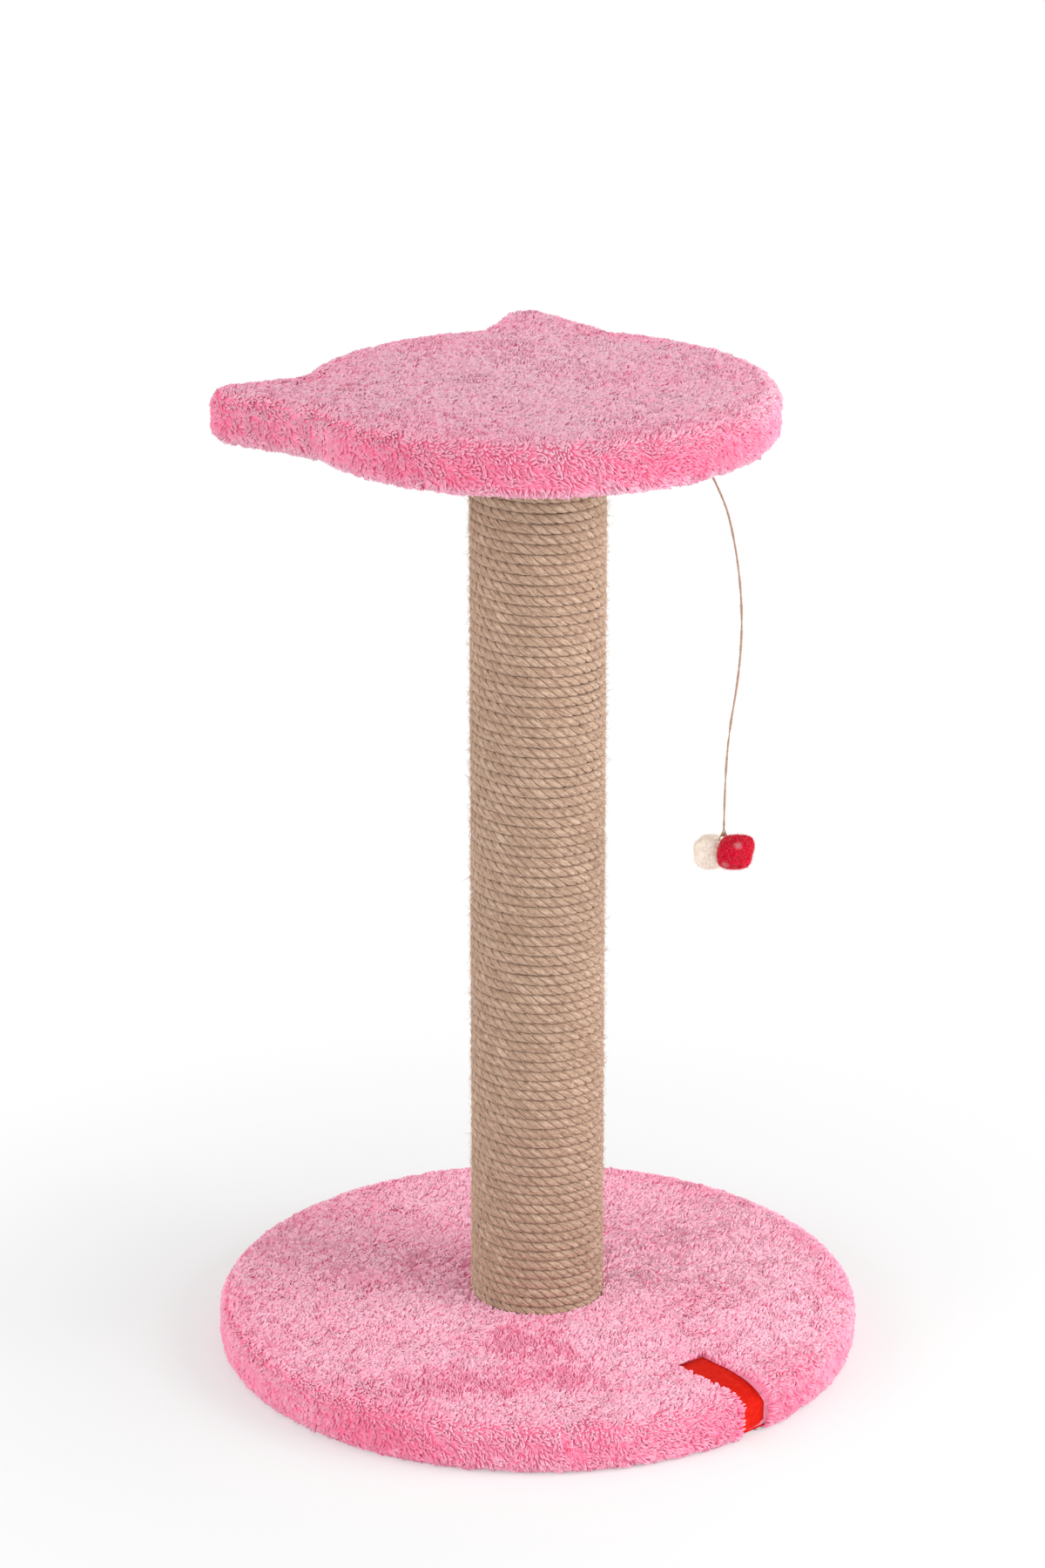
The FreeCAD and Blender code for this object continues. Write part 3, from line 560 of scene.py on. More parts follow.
def lock_points(roots, normals, combs, length, width, leans, curl, pull):
    """Three-sided tapering locks that rise, lean over along their combs and curl sideways."""
    sides = np.cross(normals, combs)
    here = roots
    share = 0.0
    rings = []
    for step, taper in zip(LOCK_STEPS, LOCK_TAPER):
        lean = column(leans[0] + (leans[1] - leans[0]) * (share + step / 2))
        turn = column(curl * share)
        level = combs * np.cos(turn) + sides * np.sin(turn)
        across = sides * np.cos(turn) - combs * np.sin(turn)
        heading = normals * np.cos(lean) + level * np.sin(lean)
        lift = np.cross(heading, across)
        half = column(width / 2) * taper
        for angle in (math.pi / 2, math.pi * 7 / 6, math.pi * 11 / 6):
            rings.append(here + half * (across * math.cos(angle) + lift * math.sin(angle)))
        here = here + (heading * column(length) + pull) * step
        share += step
    return np.stack(rings + [here - lift * half * 0.5], axis=1)


def lock_mesh(name, points, tone):
    count = len(points)
    corners = (LOCK_CORNERS + 10 * column(np.arange(count))).ravel()
    counts = np.tile(LOCK_COUNTS, count)
    places = np.empty((count, 10, 2))
    places[..., 0] = np.clip(column(tone) + LOCK_TONE, 0.0, 1.0)
    places[..., 1] = LOCK_WAY
    maps = {"OFBake": places.reshape(-1, 2)[corners]}
    return make_mesh(name, points.reshape(-1, 3), corners, counts, maps, smooth=False)


class Skin(NamedTuple):
    """Points spread over a cover, each with its outward normal, its way to the hem and its way round."""

    points: np.ndarray
    normals: np.ndarray
    down: np.ndarray
    around: np.ndarray

    def kept(self, where):
        return Skin(*(rows[where] for rows in self))

    def joined(self, other):
        return Skin(*map(np.concatenate, zip(self, other)))


class Cover:
    """A plush cover's outline, which runs anticlockwise, and its rounded rim between two levels."""

    def __init__(self, outline, bottom, top, seed):
        self.outline = outline
        self.bottom = bottom
        self.top = top
        self.rng = np.random.default_rng(seed)
        self.travel = travel_along(outline)
        self.length = self.travel[-1]
        ahead = np.roll(outline[:-1], -1, axis=0) - np.roll(outline[:-1], 1, axis=0)
        outwards = unit(np.stack((ahead[:, 1], -ahead[:, 0]), axis=1))
        self.outwards = np.concatenate((outwards, outwards[:1]))
        self.edge = outline[:-1] - outwards * PLUSH_ROUND
        self.wall = top - bottom - 2 * PLUSH_ROUND
        self.drop = self.wall + math.pi * PLUSH_ROUND

    def rim(self, travel, drop):
        """The rim's skin at distances round the outline and down from the top's edge."""
        travel = travel % self.length
        place = read_along(travel, self.travel, self.outline)
        out = unit(read_along(travel, self.travel, self.outwards))
        quarter = math.pi / 2
        after_wall = (drop - quarter * PLUSH_ROUND - self.wall) / PLUSH_ROUND
        tilt = np.clip(drop / PLUSH_ROUND, 0, quarter) + np.clip(after_wall, 0, quarter)
        fall = np.clip(drop - quarter * PLUSH_ROUND, 0, self.wall)
        level = self.top - PLUSH_ROUND * (1 - np.cos(tilt)) - fall
        place = place - out * column(PLUSH_ROUND * (1 - np.sin(tilt)))
        out = np.column_stack((out, np.zeros(len(out))))
        normals = out * column(np.sin(tilt)) + UP * column(np.cos(tilt))
        down = out * column(np.cos(tilt)) - UP * column(np.sin(tilt))
        return Skin(np.column_stack((place, level)), normals, down, np.cross(UP, out))

    def inset(self, x, y):
        """How far places lie inside the edge of the flat top, along their radius."""
        angle = np.arctan2(self.edge[:, 1], self.edge[:, 0])
        order = np.argsort(angle)
        reach = np.interp(np.arctan2(y, x), angle[order], np.hypot(*self.edge.T)[order], period=2 * math.pi)
        return reach - np.hypot(x, y)

    def edge_distance(self, points):
        """How far points lie from the edge of the flat top, seen from above."""
        level_edge = np.column_stack((self.edge, np.zeros(len(self.edge))))
        return nearest(level_edge, points * (1, 1, 0))[1]

    def rim_skin(self):
        rows = round(self.drop / LOCK_SPACING)
        count = round(self.length / LOCK_SPACING)
        row, place = np.divmod(np.arange(rows * count), count)
        travel = (place + 0.5 * (row % 2) + self.rng.uniform(-0.4, 0.4, rows * count)) * self.length / count
        drop = (row + 0.5 + self.rng.uniform(-0.4, 0.4, rows * count)) * self.drop / rows
        return self.rim(travel, np.clip(drop, 0, self.drop))

    def flat_skin(self, spacing, on_top, hole):
        """The flat top or underside inside the rim, apart from a round hole."""
        reach = np.abs(self.outline).max() + spacing
        rows = np.arange(-reach, reach, spacing * math.sqrt(0.75))
        columns = np.arange(-reach, reach, spacing)
        x, y = np.meshgrid(columns, rows)
        x = x + spacing / 2 * (np.arange(len(rows)) % 2)[:, None]
        x = x.ravel() + self.rng.uniform(-0.38, 0.38, x.size) * spacing
        y = y.ravel() + self.rng.uniform(-0.38, 0.38, y.size) * spacing
        inside = (self.inset(x, y) > 0) & (np.hypot(x, y) > hole)
        out = unit(np.column_stack((x, y, np.zeros(len(x)))))[inside]
        facing = UP if on_top else -UP
        down = out if on_top else -out
        level = self.top if on_top else self.bottom
        points = np.column_stack((x, y, np.full(len(x), level)))[inside]
        return Skin(points, np.broadcast_to(facing, points.shape).copy(), down, np.cross(UP, out))

    def upper_skin(self, hole):
        """The flat top round a hole, and the rim."""
        return self.flat_skin(LOCK_SPACING, True, hole).joined(self.rim_skin())

    def fabric(self, top_hole, hem_edge, dent=lambda points, normals: np.zeros(len(points))):
        """Rows of points of the cloth under the pile, from the middle of the top to the hem."""
        count = 721
        travel = np.linspace(self.length, 0, count)
        rows = []
        edge = self.rim(travel, np.zeros(count))
        angle = np.arctan2(edge.points[:, 1], edge.points[:, 0])
        inner = np.column_stack((np.cos(angle), np.sin(angle))) * top_hole
        for share in np.linspace(0, 1, 33)[:-1]:
            place = inner * (1 - share) + edge.points[:, :2] * share
            points = np.column_stack((place, np.full(count, self.top)))
            depth = FABRIC_DEPTH + dent(points, edge.normals)
            rows.append(points - UP * column(depth))
        for drop in np.linspace(0, self.drop, 19):
            skin = self.rim(travel, np.full(count, drop))
            depth = FABRIC_DEPTH + dent(skin.points, skin.normals)
            sunk = depth + (HEM_DEPTH - depth) * np.clip(-skin.normals[:, 2], 0, 1) ** 3
            rows.append(skin.points - skin.normals * column(sunk))
        last = rows[-1]
        hem = np.column_stack((np.cos(angle) * hem_edge, np.sin(angle) * hem_edge, last[:, 2]))
        for share in np.linspace(0, 1, 7)[1:]:
            rows.append(last * (1 - share) + hem * share)
        return np.array(rows)


def locks_on(skin, tone, swirl, seed, depth, length):
    """Clumped locks of pile rooted below a skin: neighbours lean together and share their tone."""
    rng = np.random.default_rng(seed)
    count = len(skin.points)
    heads = np.flatnonzero(rng.random(count) < CLUMP_SHARE)
    clump = nearest(skin.points[heads], skin.points)[0]
    own = rng.normal(0, 0.4, len(heads))[clump] + rng.normal(0, 0.2, count)
    steep = 1 - np.clip(skin.normals[:, 2], 0, 1)
    heading = column(swirl + own)
    combs = skin.down * np.cos(heading) + skin.around * np.sin(heading)
    first_lean = rng.uniform(0.15, 0.5, len(heads))[clump] + 0.25 * steep
    last_lean = first_lean + rng.uniform(0.6, 1.2, len(heads))[clump]
    curl = rng.normal(0, 0.8, len(heads))[clump]
    sizes = length * (1 + 0.3 * steep) * rng.uniform(0.85, 1.12, len(heads))[clump]
    sizes = sizes * rng.uniform(0.9, 1.1, count)
    width = rng.uniform(1.15, 1.75, count)
    uneven = depth + 0.15 * Waves(seed, 7.5)(skin.points)
    roots = skin.points - skin.normals * column(uneven)
    pull = (skin.points[heads][clump] - skin.points) * CLUMP_PULL
    points = lock_points(roots, skin.normals, combs, sizes, width, (first_lean, last_lean), curl, pull)
    shades = tone + rng.normal(0, 0.11, len(heads))[clump] + rng.normal(0, 0.08, count)
    return points, np.clip(shades, 0.03, 0.97)


def hem_locks(cover, hem_edge, heading, seed):
    """The pile on the hem under the board's edge."""
    skin = cover.flat_skin(HEM_LOCK_SPACING, False, hem_edge)
    swirl = lie(skin, heading, seed)
    return locks_on(skin, np.full(len(swirl), HEM_TONE), swirl, seed + 1, HEM_DEPTH, HEM_LOCK_LENGTH)


def pile_pieces(name, points, tones, count, surface, node):
    """Pieces of pile, split by the way that they lie round the post."""
    points = np.concatenate(points)
    tone = np.concatenate(tones)
    angle = np.arctan2(points[:, 0, 1], points[:, 0, 0])
    order = np.argsort(angle)
    pieces = []
    for number, part in enumerate(np.array_split(order, count), start=1):
        piece_name = "%s_%d" % (name, number)
        mesh = lock_mesh(piece_name, points[part], tone[part])
        pieces.append(add_piece(piece_name, mesh, surface, "stand", "pink_plush", node))
    return pieces


def fabric_piece(name, rows, tone, surface, node):
    """The woven cloth that the pile stands on, in the locks' root colours with their painted shade."""
    share = np.linspace(0, 0.1, len(rows))
    tones = np.clip(tone + 0.1 * Waves(40, 30.0)(rows.reshape(-1, 3)), 0.02, 0.98).reshape(rows.shape[:2])
    ups = np.broadcast_to(column(share), tones.shape)
    mesh = grid_mesh(name, rows, {"OFBake": np.stack((tones, ups), axis=-1)})
    return add_piece(name, mesh, surface, "stand", "pink_plush", node)


def pile_tone(cover, skin, pale_top, fade, fringe, seed):
    """Paler on top, fading to a hotter rim that has a paler fringe, with slow patches. The paler top is
    painted light and the hotter rim is painted shade; the slow patches are the pile's own uneven tone.
    """
    inside = cover.edge_distance(skin.points) + 5 * Waves(seed + 2, 22.0)(skin.points)
    edge = np.clip(1 - inside / fade, 0, 1)
    # Painted light: the upward-facing top takes the paler tone, less so near its edge.
    lit = np.clip(skin.normals[:, 2], 0, 1) ** 0.8 * (1 - 0.45 * edge)
    patches = Waves(seed, 95.0)(skin.points) * 0.08 + Waves(seed + 1, 38.0)(skin.points) * 0.05
    rim = 0.3 + fringe * np.clip(-1.6 * skin.normals[:, 2], 0, 1)
    return rim + (pale_top - rim) * lit + patches


def lie(skin, heading, seed):
    """How far pile that lies one way over a whole cover turns from the way down to the hem."""
    way = level_way(heading) - PILE_FALL * UP
    wander = 0.3 * Waves(seed, 80.0)(skin.points) + 0.25 * Waves(seed + 1, 26.0)(skin.points)
    return np.arctan2(skin.around @ way, skin.down @ way) + wander


def label_ways():
    """The way outwards along the label and the way across it."""
    out = level_way(LABEL_ANGLE)
    return out, np.cross(UP, out)


def label_line():
    """The ribbon's outer side from its inner end to its foot: distances from the post and levels."""
    start = BASE_RADIUS - LABEL_RUN
    end = BASE_RADIUS - LABEL_DEPTH
    low = BASE_TOP - LABEL_START_DEPTH - LABEL_BEND_DROP
    line = []
    for turn in np.linspace(0, math.pi / 2, 41):
        place = start + (end - start) * math.sin(turn) ** (2 / 3.2)
        line.append((place, low + LABEL_BEND_DROP * math.cos(turn) ** (2 / 1.6)))
    for level in np.linspace(low, LABEL_FOOT, 14)[1:]:
        line.append((end, level))
    return np.array(line)


def label_dent(points, normals):
    """How much deeper the label presses the cloth: nothing beside it, and to behind the ribbon under it."""
    out, beside = label_ways()
    inside = np.minimum(LABEL_WIDTH / 2 - np.abs(points @ beside), points @ out - (BASE_RADIUS - LABEL_RUN))
    share = np.clip((inside + LABEL_SLOPE) / LABEL_SLOPE, 0, 1)
    far = 30.0
    line = label_line()
    steps = np.diff(line, axis=0)
    inwards = -np.stack((normals @ out, normals[:, 2]), axis=1)[:, None]
    to_line = line[:-1] - np.stack((points @ out, points[:, 2]), axis=1)[:, None]
    slope = inwards[..., 0] * steps[:, 1] - inwards[..., 1] * steps[:, 0]
    slope = np.where(np.abs(slope) < 1e-9, 1e-9, slope)
    away = (to_line[..., 0] * steps[:, 1] - to_line[..., 1] * steps[:, 0]) / slope
    along = (to_line[..., 0] * inwards[..., 1] - to_line[..., 1] * inwards[..., 0]) / slope
    away = np.where((along > -0.01) & (along < 1.01) & (away > 0), away, far).min(axis=1)
    deep = np.where(away < far, away, LABEL_DEPTH) + LABEL_THICKNESS + 0.4 - FABRIC_DEPTH
    return share * share * (3 - 2 * share) * deep


def brushed_and_shaded_share(points):
    """1 where the base's pile was brushed against its lie, in front of the post, and 0 elsewhere. The share
    turns the locks there, and the deeper tone that it also gives them is painted shade.
    """
    sideways = level_way(BRUSHED_HEADING)
    towards = np.cross(sideways, UP)
    share = np.zeros(len(points))
    for place, half_width, half_depth in BRUSHED_PATCHES:
        step = points - np.array(place)
        reach = np.hypot(step @ sideways / half_width, step @ towards / half_depth)
        reach = reach + 0.2 * Waves(27, 17.0)(points)
        share = np.maximum(share, np.clip((1.5 - reach) / 0.9, 0, 1))
    return share * share * (3 - 2 * share)


def make_base_plush():
    angle = np.linspace(0, 2 * math.pi, 721)
    outline = BASE_RADIUS * np.column_stack((np.cos(angle), np.sin(angle)))
    cover = Cover(outline, 0.0, BASE_TOP, 11)
    upper = cover.upper_skin(POST_OPENING - 1)
    out, beside = label_ways()
    across = upper.points @ beside
    along = upper.points @ out
    label_start = BASE_RADIUS - LABEL_RUN
    keep = (np.abs(across) > LABEL_WIDTH / 2 - 0.4) | (along < label_start - 0.5)
    upper = upper.kept(keep)
    across = across[keep]
    along = along[keep]

    brushed = brushed_and_shaded_share(upper.points)
    swirl = lie(upper, BASE_LIE, 21) + 1.4 * brushed
    by_label = (np.abs(across) < LABEL_WIDTH / 2 + 3) & (along > label_start - 2)
    swirl = np.where(by_label, math.pi / 2, swirl)
    # The brushed patches turn their locks, and their deeper tone is painted shade.
    tone = pile_tone(cover, upper, pale_top=0.9, fade=15.0, fringe=0.15, seed=23) - 0.42 * brushed
    points, shades = locks_on(upper, tone, swirl, 24, ROOT_DEPTH, LOCK_LENGTH)
    points[..., 2] = np.maximum(points[..., 2], RIM_LOWEST)
    low_points, low_shades = hem_locks(cover, BASE_HEM_EDGE, BASE_LIE, 25)
    low_points[..., 2] = np.maximum(low_points[..., 2], HEM_LOWEST)
    pieces = pile_pieces("base_pile", (points, low_points), (shades, low_shades), 6, base_surface,
                         "base_cover")
    rows = cover.fabric(POST_OPENING, BASE_HEM_EDGE, label_dent)
    cloth = fabric_piece("base_fabric", rows, 0.6, base_surface, "base_cover")


def head_outline():
    """The platform's outline, read from the straight part of its CAD wall and evenly spaced."""
    mesh = frame["nodes"]["platform_cover"].data
    places = np.array([vertex.co for vertex in mesh.vertices]) / MM
    wall = places[np.abs(places[:, 2] - HEAD_BOTTOM - PLUSH_ROUND) < 0.05][:, :2]
    wall = np.unique(wall.round(2), axis=0)
    wall = wall[np.argsort(np.arctan2(wall[:, 1], wall[:, 0]))]
    wall = np.concatenate((wall, wall[:1]))
    travel = travel_along(wall)
    return read_along(np.linspace(0, travel[-1], 901), travel, wall)


def make_platform_plush():
    cover = Cover(head_outline(), HEAD_BOTTOM, HEAD_TOP, 31)
    upper = cover.upper_skin(0.0)
    swirl = lie(upper, HEAD_LIE, 32)
    tone = pile_tone(cover, upper, pale_top=0.9, fade=26.0, fringe=0.45, seed=34)
    points, shades = locks_on(upper, tone, swirl, 35, ROOT_DEPTH, LOCK_LENGTH)
    low_points, low_shades = hem_locks(cover, HEAD_HEM_EDGE, HEAD_LIE, 36)
    pieces = pile_pieces("platform_pile", (points, low_points), (shades, low_shades), 5, platform_surface,
                         "platform_cover")
    cloth = fabric_piece("platform_fabric", cover.fabric(3.0, HEAD_HEM_EDGE), 0.5, platform_surface,
                         "platform_cover")


# Label ribbon and liners

def make_label():
    """The ribbon over the base's rim, a thin strip with slightly curled edges."""
    line = label_line()
    out, beside = label_ways()
    middle = column(line[:, 0]) * out + column(line[:, 1]) * UP
    outwards = np.cross(beside, unit(np.gradient(middle, axis=0)))
    travel = travel_along(middle)
    width = np.linspace(LABEL_WIDTH / 2, -LABEL_WIDTH / 2, 17)
    wave = 0.25 * np.sin(column(travel) / 9.0 + width / 14.0) + 0.5 * (width / 11.0) ** 4
    points = middle[:, None] + beside * width[:, None] + outwards[:, None] * wave[..., None]
    along = np.broadcast_to(column(travel), wave.shape)
    across = np.broadcast_to(width, wave.shape)
    weave_map = np.stack((along, across), axis=-1)
    bake_map = np.stack((along / travel[-1], across / LABEL_WIDTH + 0.5), axis=-1)
    mesh = grid_mesh("label_strip", points, {"OFBake": bake_map, "weave": weave_map})
    strip = add_piece("label_strip", mesh, label_surface, "stand", "red_ribbon", "label_ribbon")
    thick = strip.modifiers.new("thickness", "SOLIDIFY")
    thick.thickness = LABEL_THICKNESS * MM
    thick.offset = -1.0


def make_liner(name, inner, outer, level, seed, node):
    """A thin nonwoven disc under a board, with slight wrinkles that spread from its staples."""
    radius = np.linspace(inner, outer, 40)
    angle = np.linspace(0, 2 * math.pi, 241)
    x = column(radius) * np.cos(angle)
    y = column(radius) * np.sin(angle)
    flat = np.stack((x, y, np.full(x.shape, level)), axis=-1)
    slack = column(np.sin(math.pi * (radius - inner) / (outer - inner)))
    wrinkle = 0.16 * Waves(seed, 24.0)(flat.reshape(-1, 3)).reshape(x.shape)
    flat[..., 2] -= slack * np.abs(wrinkle)
    bake_map = np.stack((x, y), axis=-1) / (2 * outer) + 0.5
    mesh = grid_mesh(name, flat, {"OFBake": bake_map})
    sheet = add_piece(name, mesh, liner_surface, "stand", "liner_cloth", node)


# Rope

def rope_line(turns):
    """The rope's middle at a number of turns up the post, its way outwards and its way along."""
    angle = math.pi / 2 - 2 * math.pi * turns
    out = np.column_stack((np.cos(angle), np.sin(angle), np.zeros(len(angle))))
    level = np.cross(out, UP)
    along = unit(level * 2 * math.pi * ROPE_RADIUS + UP * ROPE_PITCH)
    middle = out * ROPE_RADIUS + column(ROPE_FIRST_LEVEL + ROPE_PITCH * turns) * UP
    return middle, out, along


def rope_room(middle):
    """How far the rope reaches down and up to the wandering lines where it meets its neighbours."""
    wander = [0.2 * Waves(51, 48.0)(points) + 0.1 * Waves(54, 13.0)(points)
              for points in (middle - UP * ROPE_PITCH / 2, middle + UP * ROPE_PITCH / 2)]
    return ROPE_PITCH / 2 - wander[0] - 0.01, ROPE_PITCH / 2 + wander[1] - 0.01


def make_rope():
    for number in range(ROPE_WINDINGS):
        turns = np.linspace(number * ROPE_TURNS, (number + 1) * ROPE_TURNS, ROPE_RINGS)
        middle, out, along = rope_line(turns)
        upward = np.cross(along, out)
        room = rope_room(middle)
        uneven = 1 + 0.025 * Waves(53, 16.0)(middle)
        halves = (ROPE_HALF_DEPTH * (1 + 0.03 * Waves(52, 21.0)(middle)), ROPE_HALF_HEIGHT * uneven)
        name = "rope_lay_%d" % (number + 1)
        mesh = twisted_tube(name, middle, out, upward, halves, ROPE_LAY, 0.22, ROPE_SIDES, room, 2.4)
        fold_rows(mesh, turns, STRANDS * ROPE_SIDES + 1)
        add_piece(name, mesh, rope_surface, "stand", "jute_rope", "rope_winding_%d" % (number + 1))
    make_rope_fibres("rope_fibres_1", 61)
    make_rope_fibres("rope_fibres_2", 62)


def fold_rows(mesh, turns, columns):
    """Lays a winding's bake map out with one row for each turn of the rope."""
    layer = mesh.uv_layers["OFBake"]
    corners = np.empty(len(mesh.loops), dtype=np.int32)
    mesh.loops.foreach_get("vertex_index", corners)
    ring, place = np.divmod(corners.reshape(-1, 4), columns)
    start = turns[0]
    row = np.floor(turns[ring].mean(axis=1) - start)
    across = turns[ring] - start - row[:, None]
    up = (row[:, None] + 0.04 + 0.92 * place / (columns - 1)) / ROPE_TURNS
    layer.uv.foreach_set("vector", np.stack((across, up), axis=-1).astype(np.float32).ravel())


def make_rope_fibres(name, seed):
    """Loose fibres of the rope: most lie along its strands, and a few stand off."""
    rng = np.random.default_rng(seed)
    count = FIBRE_COUNT
    turns = rng.uniform(0.2, ROPE_TURNS * ROPE_WINDINGS - 0.2, count)
    middle, out, along = rope_line(turns)
    upward = np.cross(along, out)
    angle = column(rng.normal(0, 0.6, count))
    normals = out * np.cos(angle) + upward * np.sin(angle)
    roots = middle + out * np.cos(angle) * (ROPE_HALF_DEPTH - 0.1)
    roots = roots + upward * np.sin(angle) * (ROPE_HALF_HEIGHT - 0.4)
    loose = rng.random(count) < 0.15
    spread = np.where(loose, 0.8, 0.22)
    heading = rng.normal(-FIBRE_SLANT, 1.0, count) * spread - FIBRE_SLANT * (1 - spread)
    heading = column(heading + math.pi * (rng.random(count) < 0.5))
    combs = along * np.cos(heading) + np.cross(normals, along) * np.sin(heading)
    first_lean = np.where(loose, rng.uniform(0.7, 1.4, count), rng.uniform(1.35, 1.5, count))
    last_lean = first_lean + np.where(loose, rng.normal(0.2, 0.3, count), rng.uniform(0.1, 0.25, count))
    length = rng.uniform(2.0, 6.0, count)
    width = rng.uniform(0.12, 0.26, count)
    points = lock_points(roots, normals, combs, length, width, (first_lean, last_lean),
                         rng.normal(0, 0.5, count), np.zeros(3))
    mesh = lock_mesh(name, points, rng.uniform(0.05, 0.95, count))
    add_piece(name, mesh, fibre_surface, "stand", "jute_rope")


# Toy

def make_ball(name, node, surface, fuzz, slot, seed, squareness, skew):
    """A rolled felt ball: a bit low, square and leaning, dented, with fine fibres all over it."""
    first = level_way(BALL_FACING)
    sides = np.column_stack((first, np.cross(UP, first), UP))
    shape = np.diag((1.0, 1.0, BALL_LOWNESS)) + skew * np.outer(UP, sides[:, 0])
    centre = node_middle(node)
    shell = bmesh.new()
    bmesh.ops.create_icosphere(shell, subdivisions=6, radius=1.0)
    mesh = bpy.data.meshes.new(name)
    shell.to_mesh(mesh)
    shell.free()
    ways = np.empty(len(mesh.vertices) * 3, dtype=np.float32)
    mesh.vertices.foreach_get("co", ways)
    ways = unit(ways.reshape(-1, 3).astype(float))

    def surface_points(directions, depth=0.0):
        square = (np.abs(directions @ sides) ** 3).sum(axis=1) ** (-1 / 3)
        places = directions * BALL_RADIUS
        dents = 0.2 * Waves(seed, 11.0)(places) + 0.08 * Waves(seed + 1, 4.0)(places)
        radius = BALL_RADIUS * (0.95 + squareness * (square - 1)) + dents - depth
        return centre + directions * column(radius) @ shape

    points = surface_points(ways)
    mesh.vertices.foreach_set("co", (points * MM).astype(np.float32).ravel())
    mesh.polygons.foreach_set("use_smooth", np.ones(len(mesh.polygons), dtype=bool))
    mesh.update()
    ball = add_piece(name, mesh, surface, "toy_pair", slot, node)

    rng = np.random.default_rng(seed + 2)
    count = FUZZ_COUNT
    normals = unit(rng.normal(size=(count, 3)))
    roots = surface_points(normals, 0.15)
    combs = unit(np.cross(normals, unit(rng.normal(size=(count, 3)))))
    first_lean = rng.uniform(0.5, 1.4, count)
    last_lean = first_lean + rng.normal(0.5, 0.4, count)
    points = lock_points(roots, normals, combs, rng.uniform(0.7, 2.0, count), rng.uniform(0.09, 0.17, count),
                         (first_lean, last_lean), rng.normal(0, 1.0, count), np.zeros(3))
    fuzz_mesh = lock_mesh(name + "_fuzz", points, rng.uniform(0.05, 0.95, count))
    hair = add_piece(name + "_fuzz", fuzz_mesh, fuzz, "toy_pair", slot)
    return [ball, hair]


def make_toy():
    out = level_way(TOY_ANGLE)
    loop_line = ring_line(TOY_HOOK - LOOP_DROP * UP, out, UP, LOOP_RADIUS)
    loop = twine_piece("twine_loop", loop_line, TWINE_RADIUS * 0.9, "toy_link", "toy_loop", 71)
    eye_line = ring_line(TOY_HOOK - EYE_DROP * UP, np.cross(UP, out), UP, EYE_RADIUS)
    eye = twine_piece("twine_eye", eye_line, TWINE_RADIUS * 0.9, "toy_line", "toy_eye", 73)
    line = twine_line()
    twine = twine_piece("twine", line, TWINE_RADIUS, "toy_line", "toy_twine", 75)

    knot_centre = TOY_HOOK + KNOT_STEP
    angle = np.linspace(0, 2 * math.pi, 121)
    knot_line = knot_centre + np.column_stack((
        0.42 * (np.sin(angle) + 2 * np.sin(2 * angle)),
        0.42 * (np.cos(angle) - 2 * np.cos(2 * angle)),
        -0.8 * np.sin(3 * angle)))
    knot = twine_piece("twine_knot", knot_line, TWINE_RADIUS * 0.85, "toy_pair", "toy_knot", 77)
    twine_end = line[-1] + UP * 0.3
    pieces = [loop, eye, knot]
    for name, surface, fuzz, slot, seed, squareness, skew in (
            ("ball_cream", cream_surface, cream_fuzz, "cream_felt", 81, 0.35, 0.0),
            ("ball_red", red_surface, red_fuzz, "red_felt", 91, 0.75, 0.12)):
        middle = node_middle(name)
        share = column(np.linspace(0, 0.55, 12))
        strand = twine_end + (middle - twine_end) * share - UP * np.sin(share * math.pi) * 0.6
        pieces.append(twine_piece(name + "_strand", strand, TWINE_RADIUS * 0.7, "toy_pair", None, seed))
        pieces += make_ball("felt_" + slot.split("_")[0], name, surface, fuzz, slot, seed, squareness, skew)


# Hidden frame pieces

def dress_cad_nodes():
    for part in frame["record"]["subparts"]:
        surface = cad_surfaces.get(part["material_slot"])
        if surface:
            for slot in frame["nodes"][part["node"]].material_slots:
                slot.material = surface


# Floor, light and background

OBJECT_MIDDLE = 0.28


def hang_light(light, heading, height):
    """Turns a light to the object from a heading and a height, in degrees."""
    holder = bpy.data.objects.new(light.name, light)
    holder.rotation_euler = (math.radians(90 - height), 0.0, math.radians(heading + 90))
    scene.collection.objects.link(holder)
    return holder


def add_lamp(name, heading, height, spread, power):
    """A soft lamp far away."""
    lamp = bpy.data.lights.new(name, "SUN")
    lamp.angle = math.radians(spread)
    lamp.energy = power
    hang_light(lamp, heading, height)


def add_panel(name, heading, height, distance, width, power):
    """A square light panel that faces the middle of the object, as bright there as a lamp of that power."""
    panel = bpy.data.lights.new(name, "AREA")
    panel.size = width
    panel.energy = power * math.pi * distance ** 2
    holder = hang_light(panel, heading, height)
    place = level_way(heading) * (distance * math.cos(math.radians(height)))
    place[2] = OBJECT_MIDDLE + distance * math.sin(math.radians(height))
    holder.location = place
    holder.visible_camera = False


def white_for_camera(tree):
    """1 for rays that see the background directly, in a reflection or through glass."""
    path = tree.nodes.new("ShaderNodeLightPath")
    seen = path.outputs["Is Camera Ray"]
    for other in ("Is Glossy Ray", "Is Transmission Ray"):
        either = tree.nodes.new("ShaderNodeMath")
        either.operation = "MAXIMUM"
        tree.links.new(seen, either.inputs[0])
        tree.links.new(path.outputs[other], either.inputs[1])
        seen = either.outputs[0]
    return seen


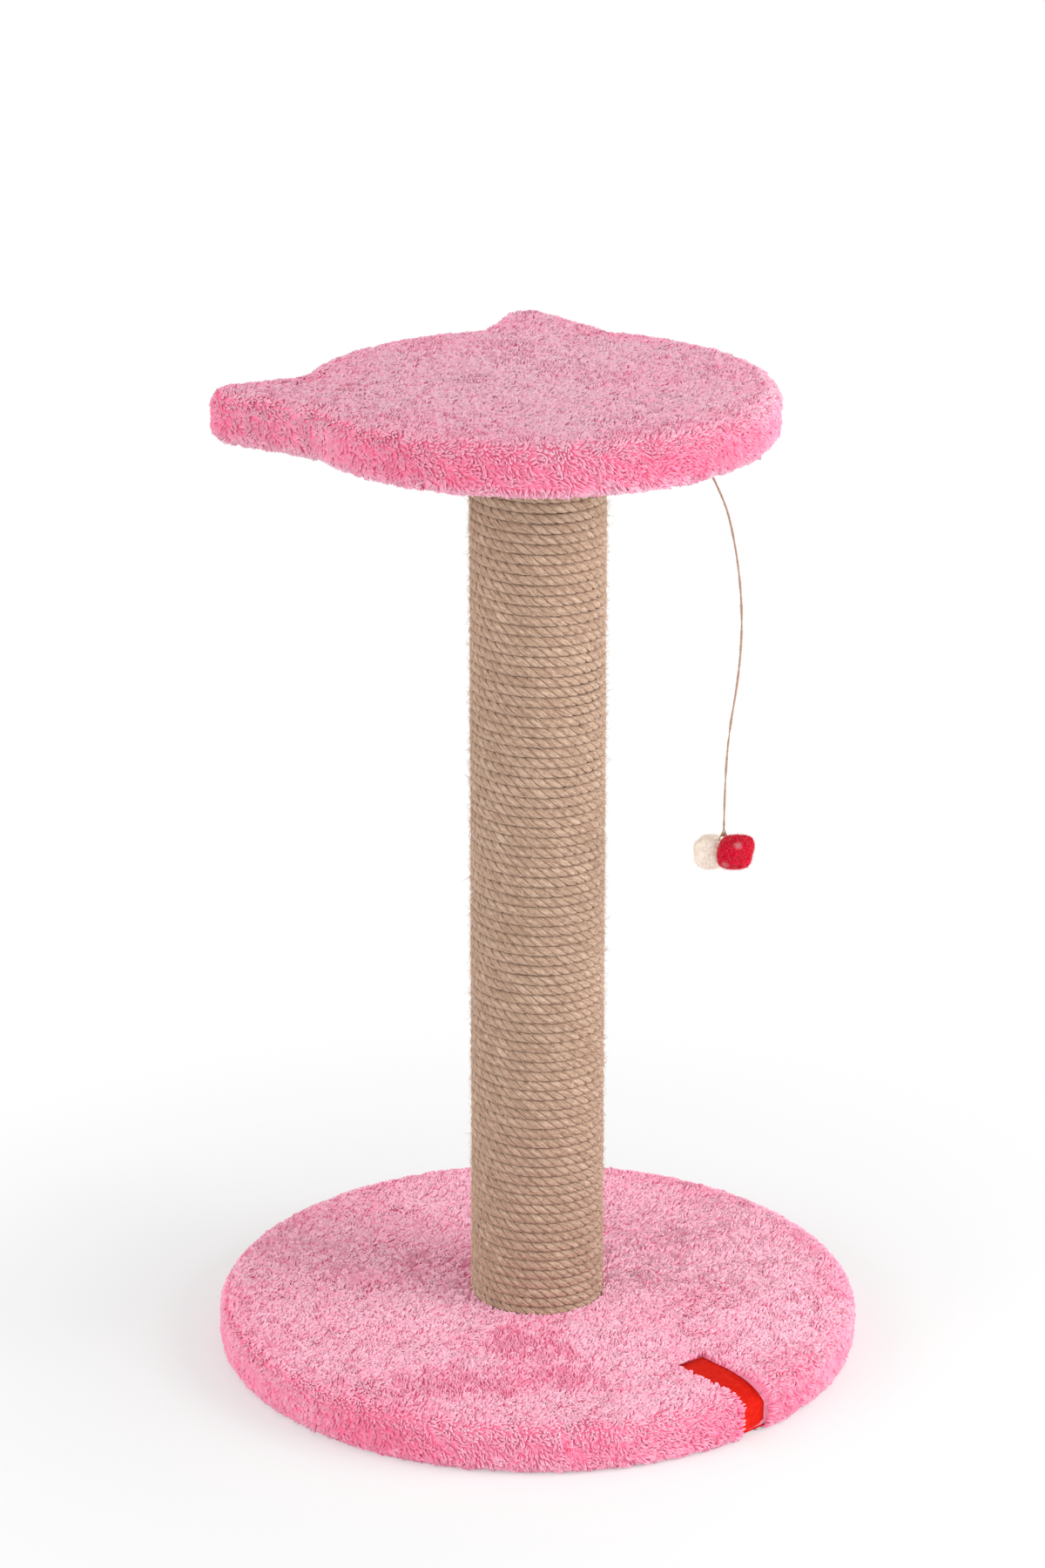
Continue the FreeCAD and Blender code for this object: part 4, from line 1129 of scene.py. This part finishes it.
def make_world():
    """Even light from all round, and a white background."""
    world = bpy.data.worlds.new("studio")
    world.use_nodes = True
    scene.world = world
    tree = world.node_tree
    light = tree.nodes["Background"]
    white = tree.nodes.new("ShaderNodeBackground")
    for shader, strength in ((light, 0.55), (white, 1.0)):
        shader.inputs["Color"].default_value = WHITE
        shader.inputs["Strength"].default_value = strength
    choice = tree.nodes.new("ShaderNodeMixShader")
    tree.links.new(white_for_camera(tree), choice.inputs[0])
    tree.links.new(light.outputs[0], choice.inputs[1])
    tree.links.new(white.outputs[0], choice.inputs[2])
    tree.links.new(choice.outputs[0], tree.nodes["World Output"].inputs["Surface"])


def make_floor():
    """A floor that takes shadows near the object and is white farther out."""
    floor_surface = Surface("floor", 0.9, specular_ior_level=0.0)
    floor_surface.shader.inputs["Base Color"].default_value = (0.96, 0.96, 0.96, 1.0)
    tree = floor_surface.tree
    place = floor_surface.space()
    away = floor_surface.add("VectorMath", {0: place}, operation="LENGTH").outputs["Value"]
    share = floor_surface.add("MapRange", {0: away, 1: 0.2, 2: 0.5, 3: 0.4, 4: 1.0},
                              interpolation_type="SMOOTHSTEP").outputs[0]
    white = floor_surface.add("Emission", {"Color": WHITE, "Strength": 1.0})
    far = floor_surface.math("MULTIPLY", share, white_for_camera(tree))
    choice = floor_surface.add("MixShader", {0: far, 1: floor_surface.shader.outputs[0], 2: white.outputs[0]})
    tree.links.new(choice.outputs[0], tree.nodes["Material Output"].inputs["Surface"])
    mesh = bpy.data.meshes.new("floor")
    mesh.from_pydata([(-6, -6, 0), (6, -6, 0), (6, 6, 0), (-6, 6, 0)], [], [(0, 1, 2, 3)])
    mesh.materials.append(floor_surface.material)
    floor = bpy.data.objects.new("floor", mesh)
    scene.collection.objects.link(floor)


def make_lights():
    add_panel("right", heading=-68.0, height=18.0, distance=1.7, width=1.3, power=2.7)
    add_lamp("left", heading=160.0, height=10.0, spread=60.0, power=1.9)
    add_lamp("front", heading=-137.6, height=14.0, spread=80.0, power=0.35)


scene.view_settings.view_transform = "Standard"
make_camera()
make_toy()
make_base_plush()
make_platform_plush()
make_label()
make_liner("base_lining", inner=11.0, outer=146.5, level=3.2, seed=101, node="base_liner")
make_liner("platform_lining", inner=38.2, outer=106.2, level=531.2, seed=103, node="platform_liner")
make_rope()
dress_cad_nodes()
make_world()
make_floor()
make_lights()
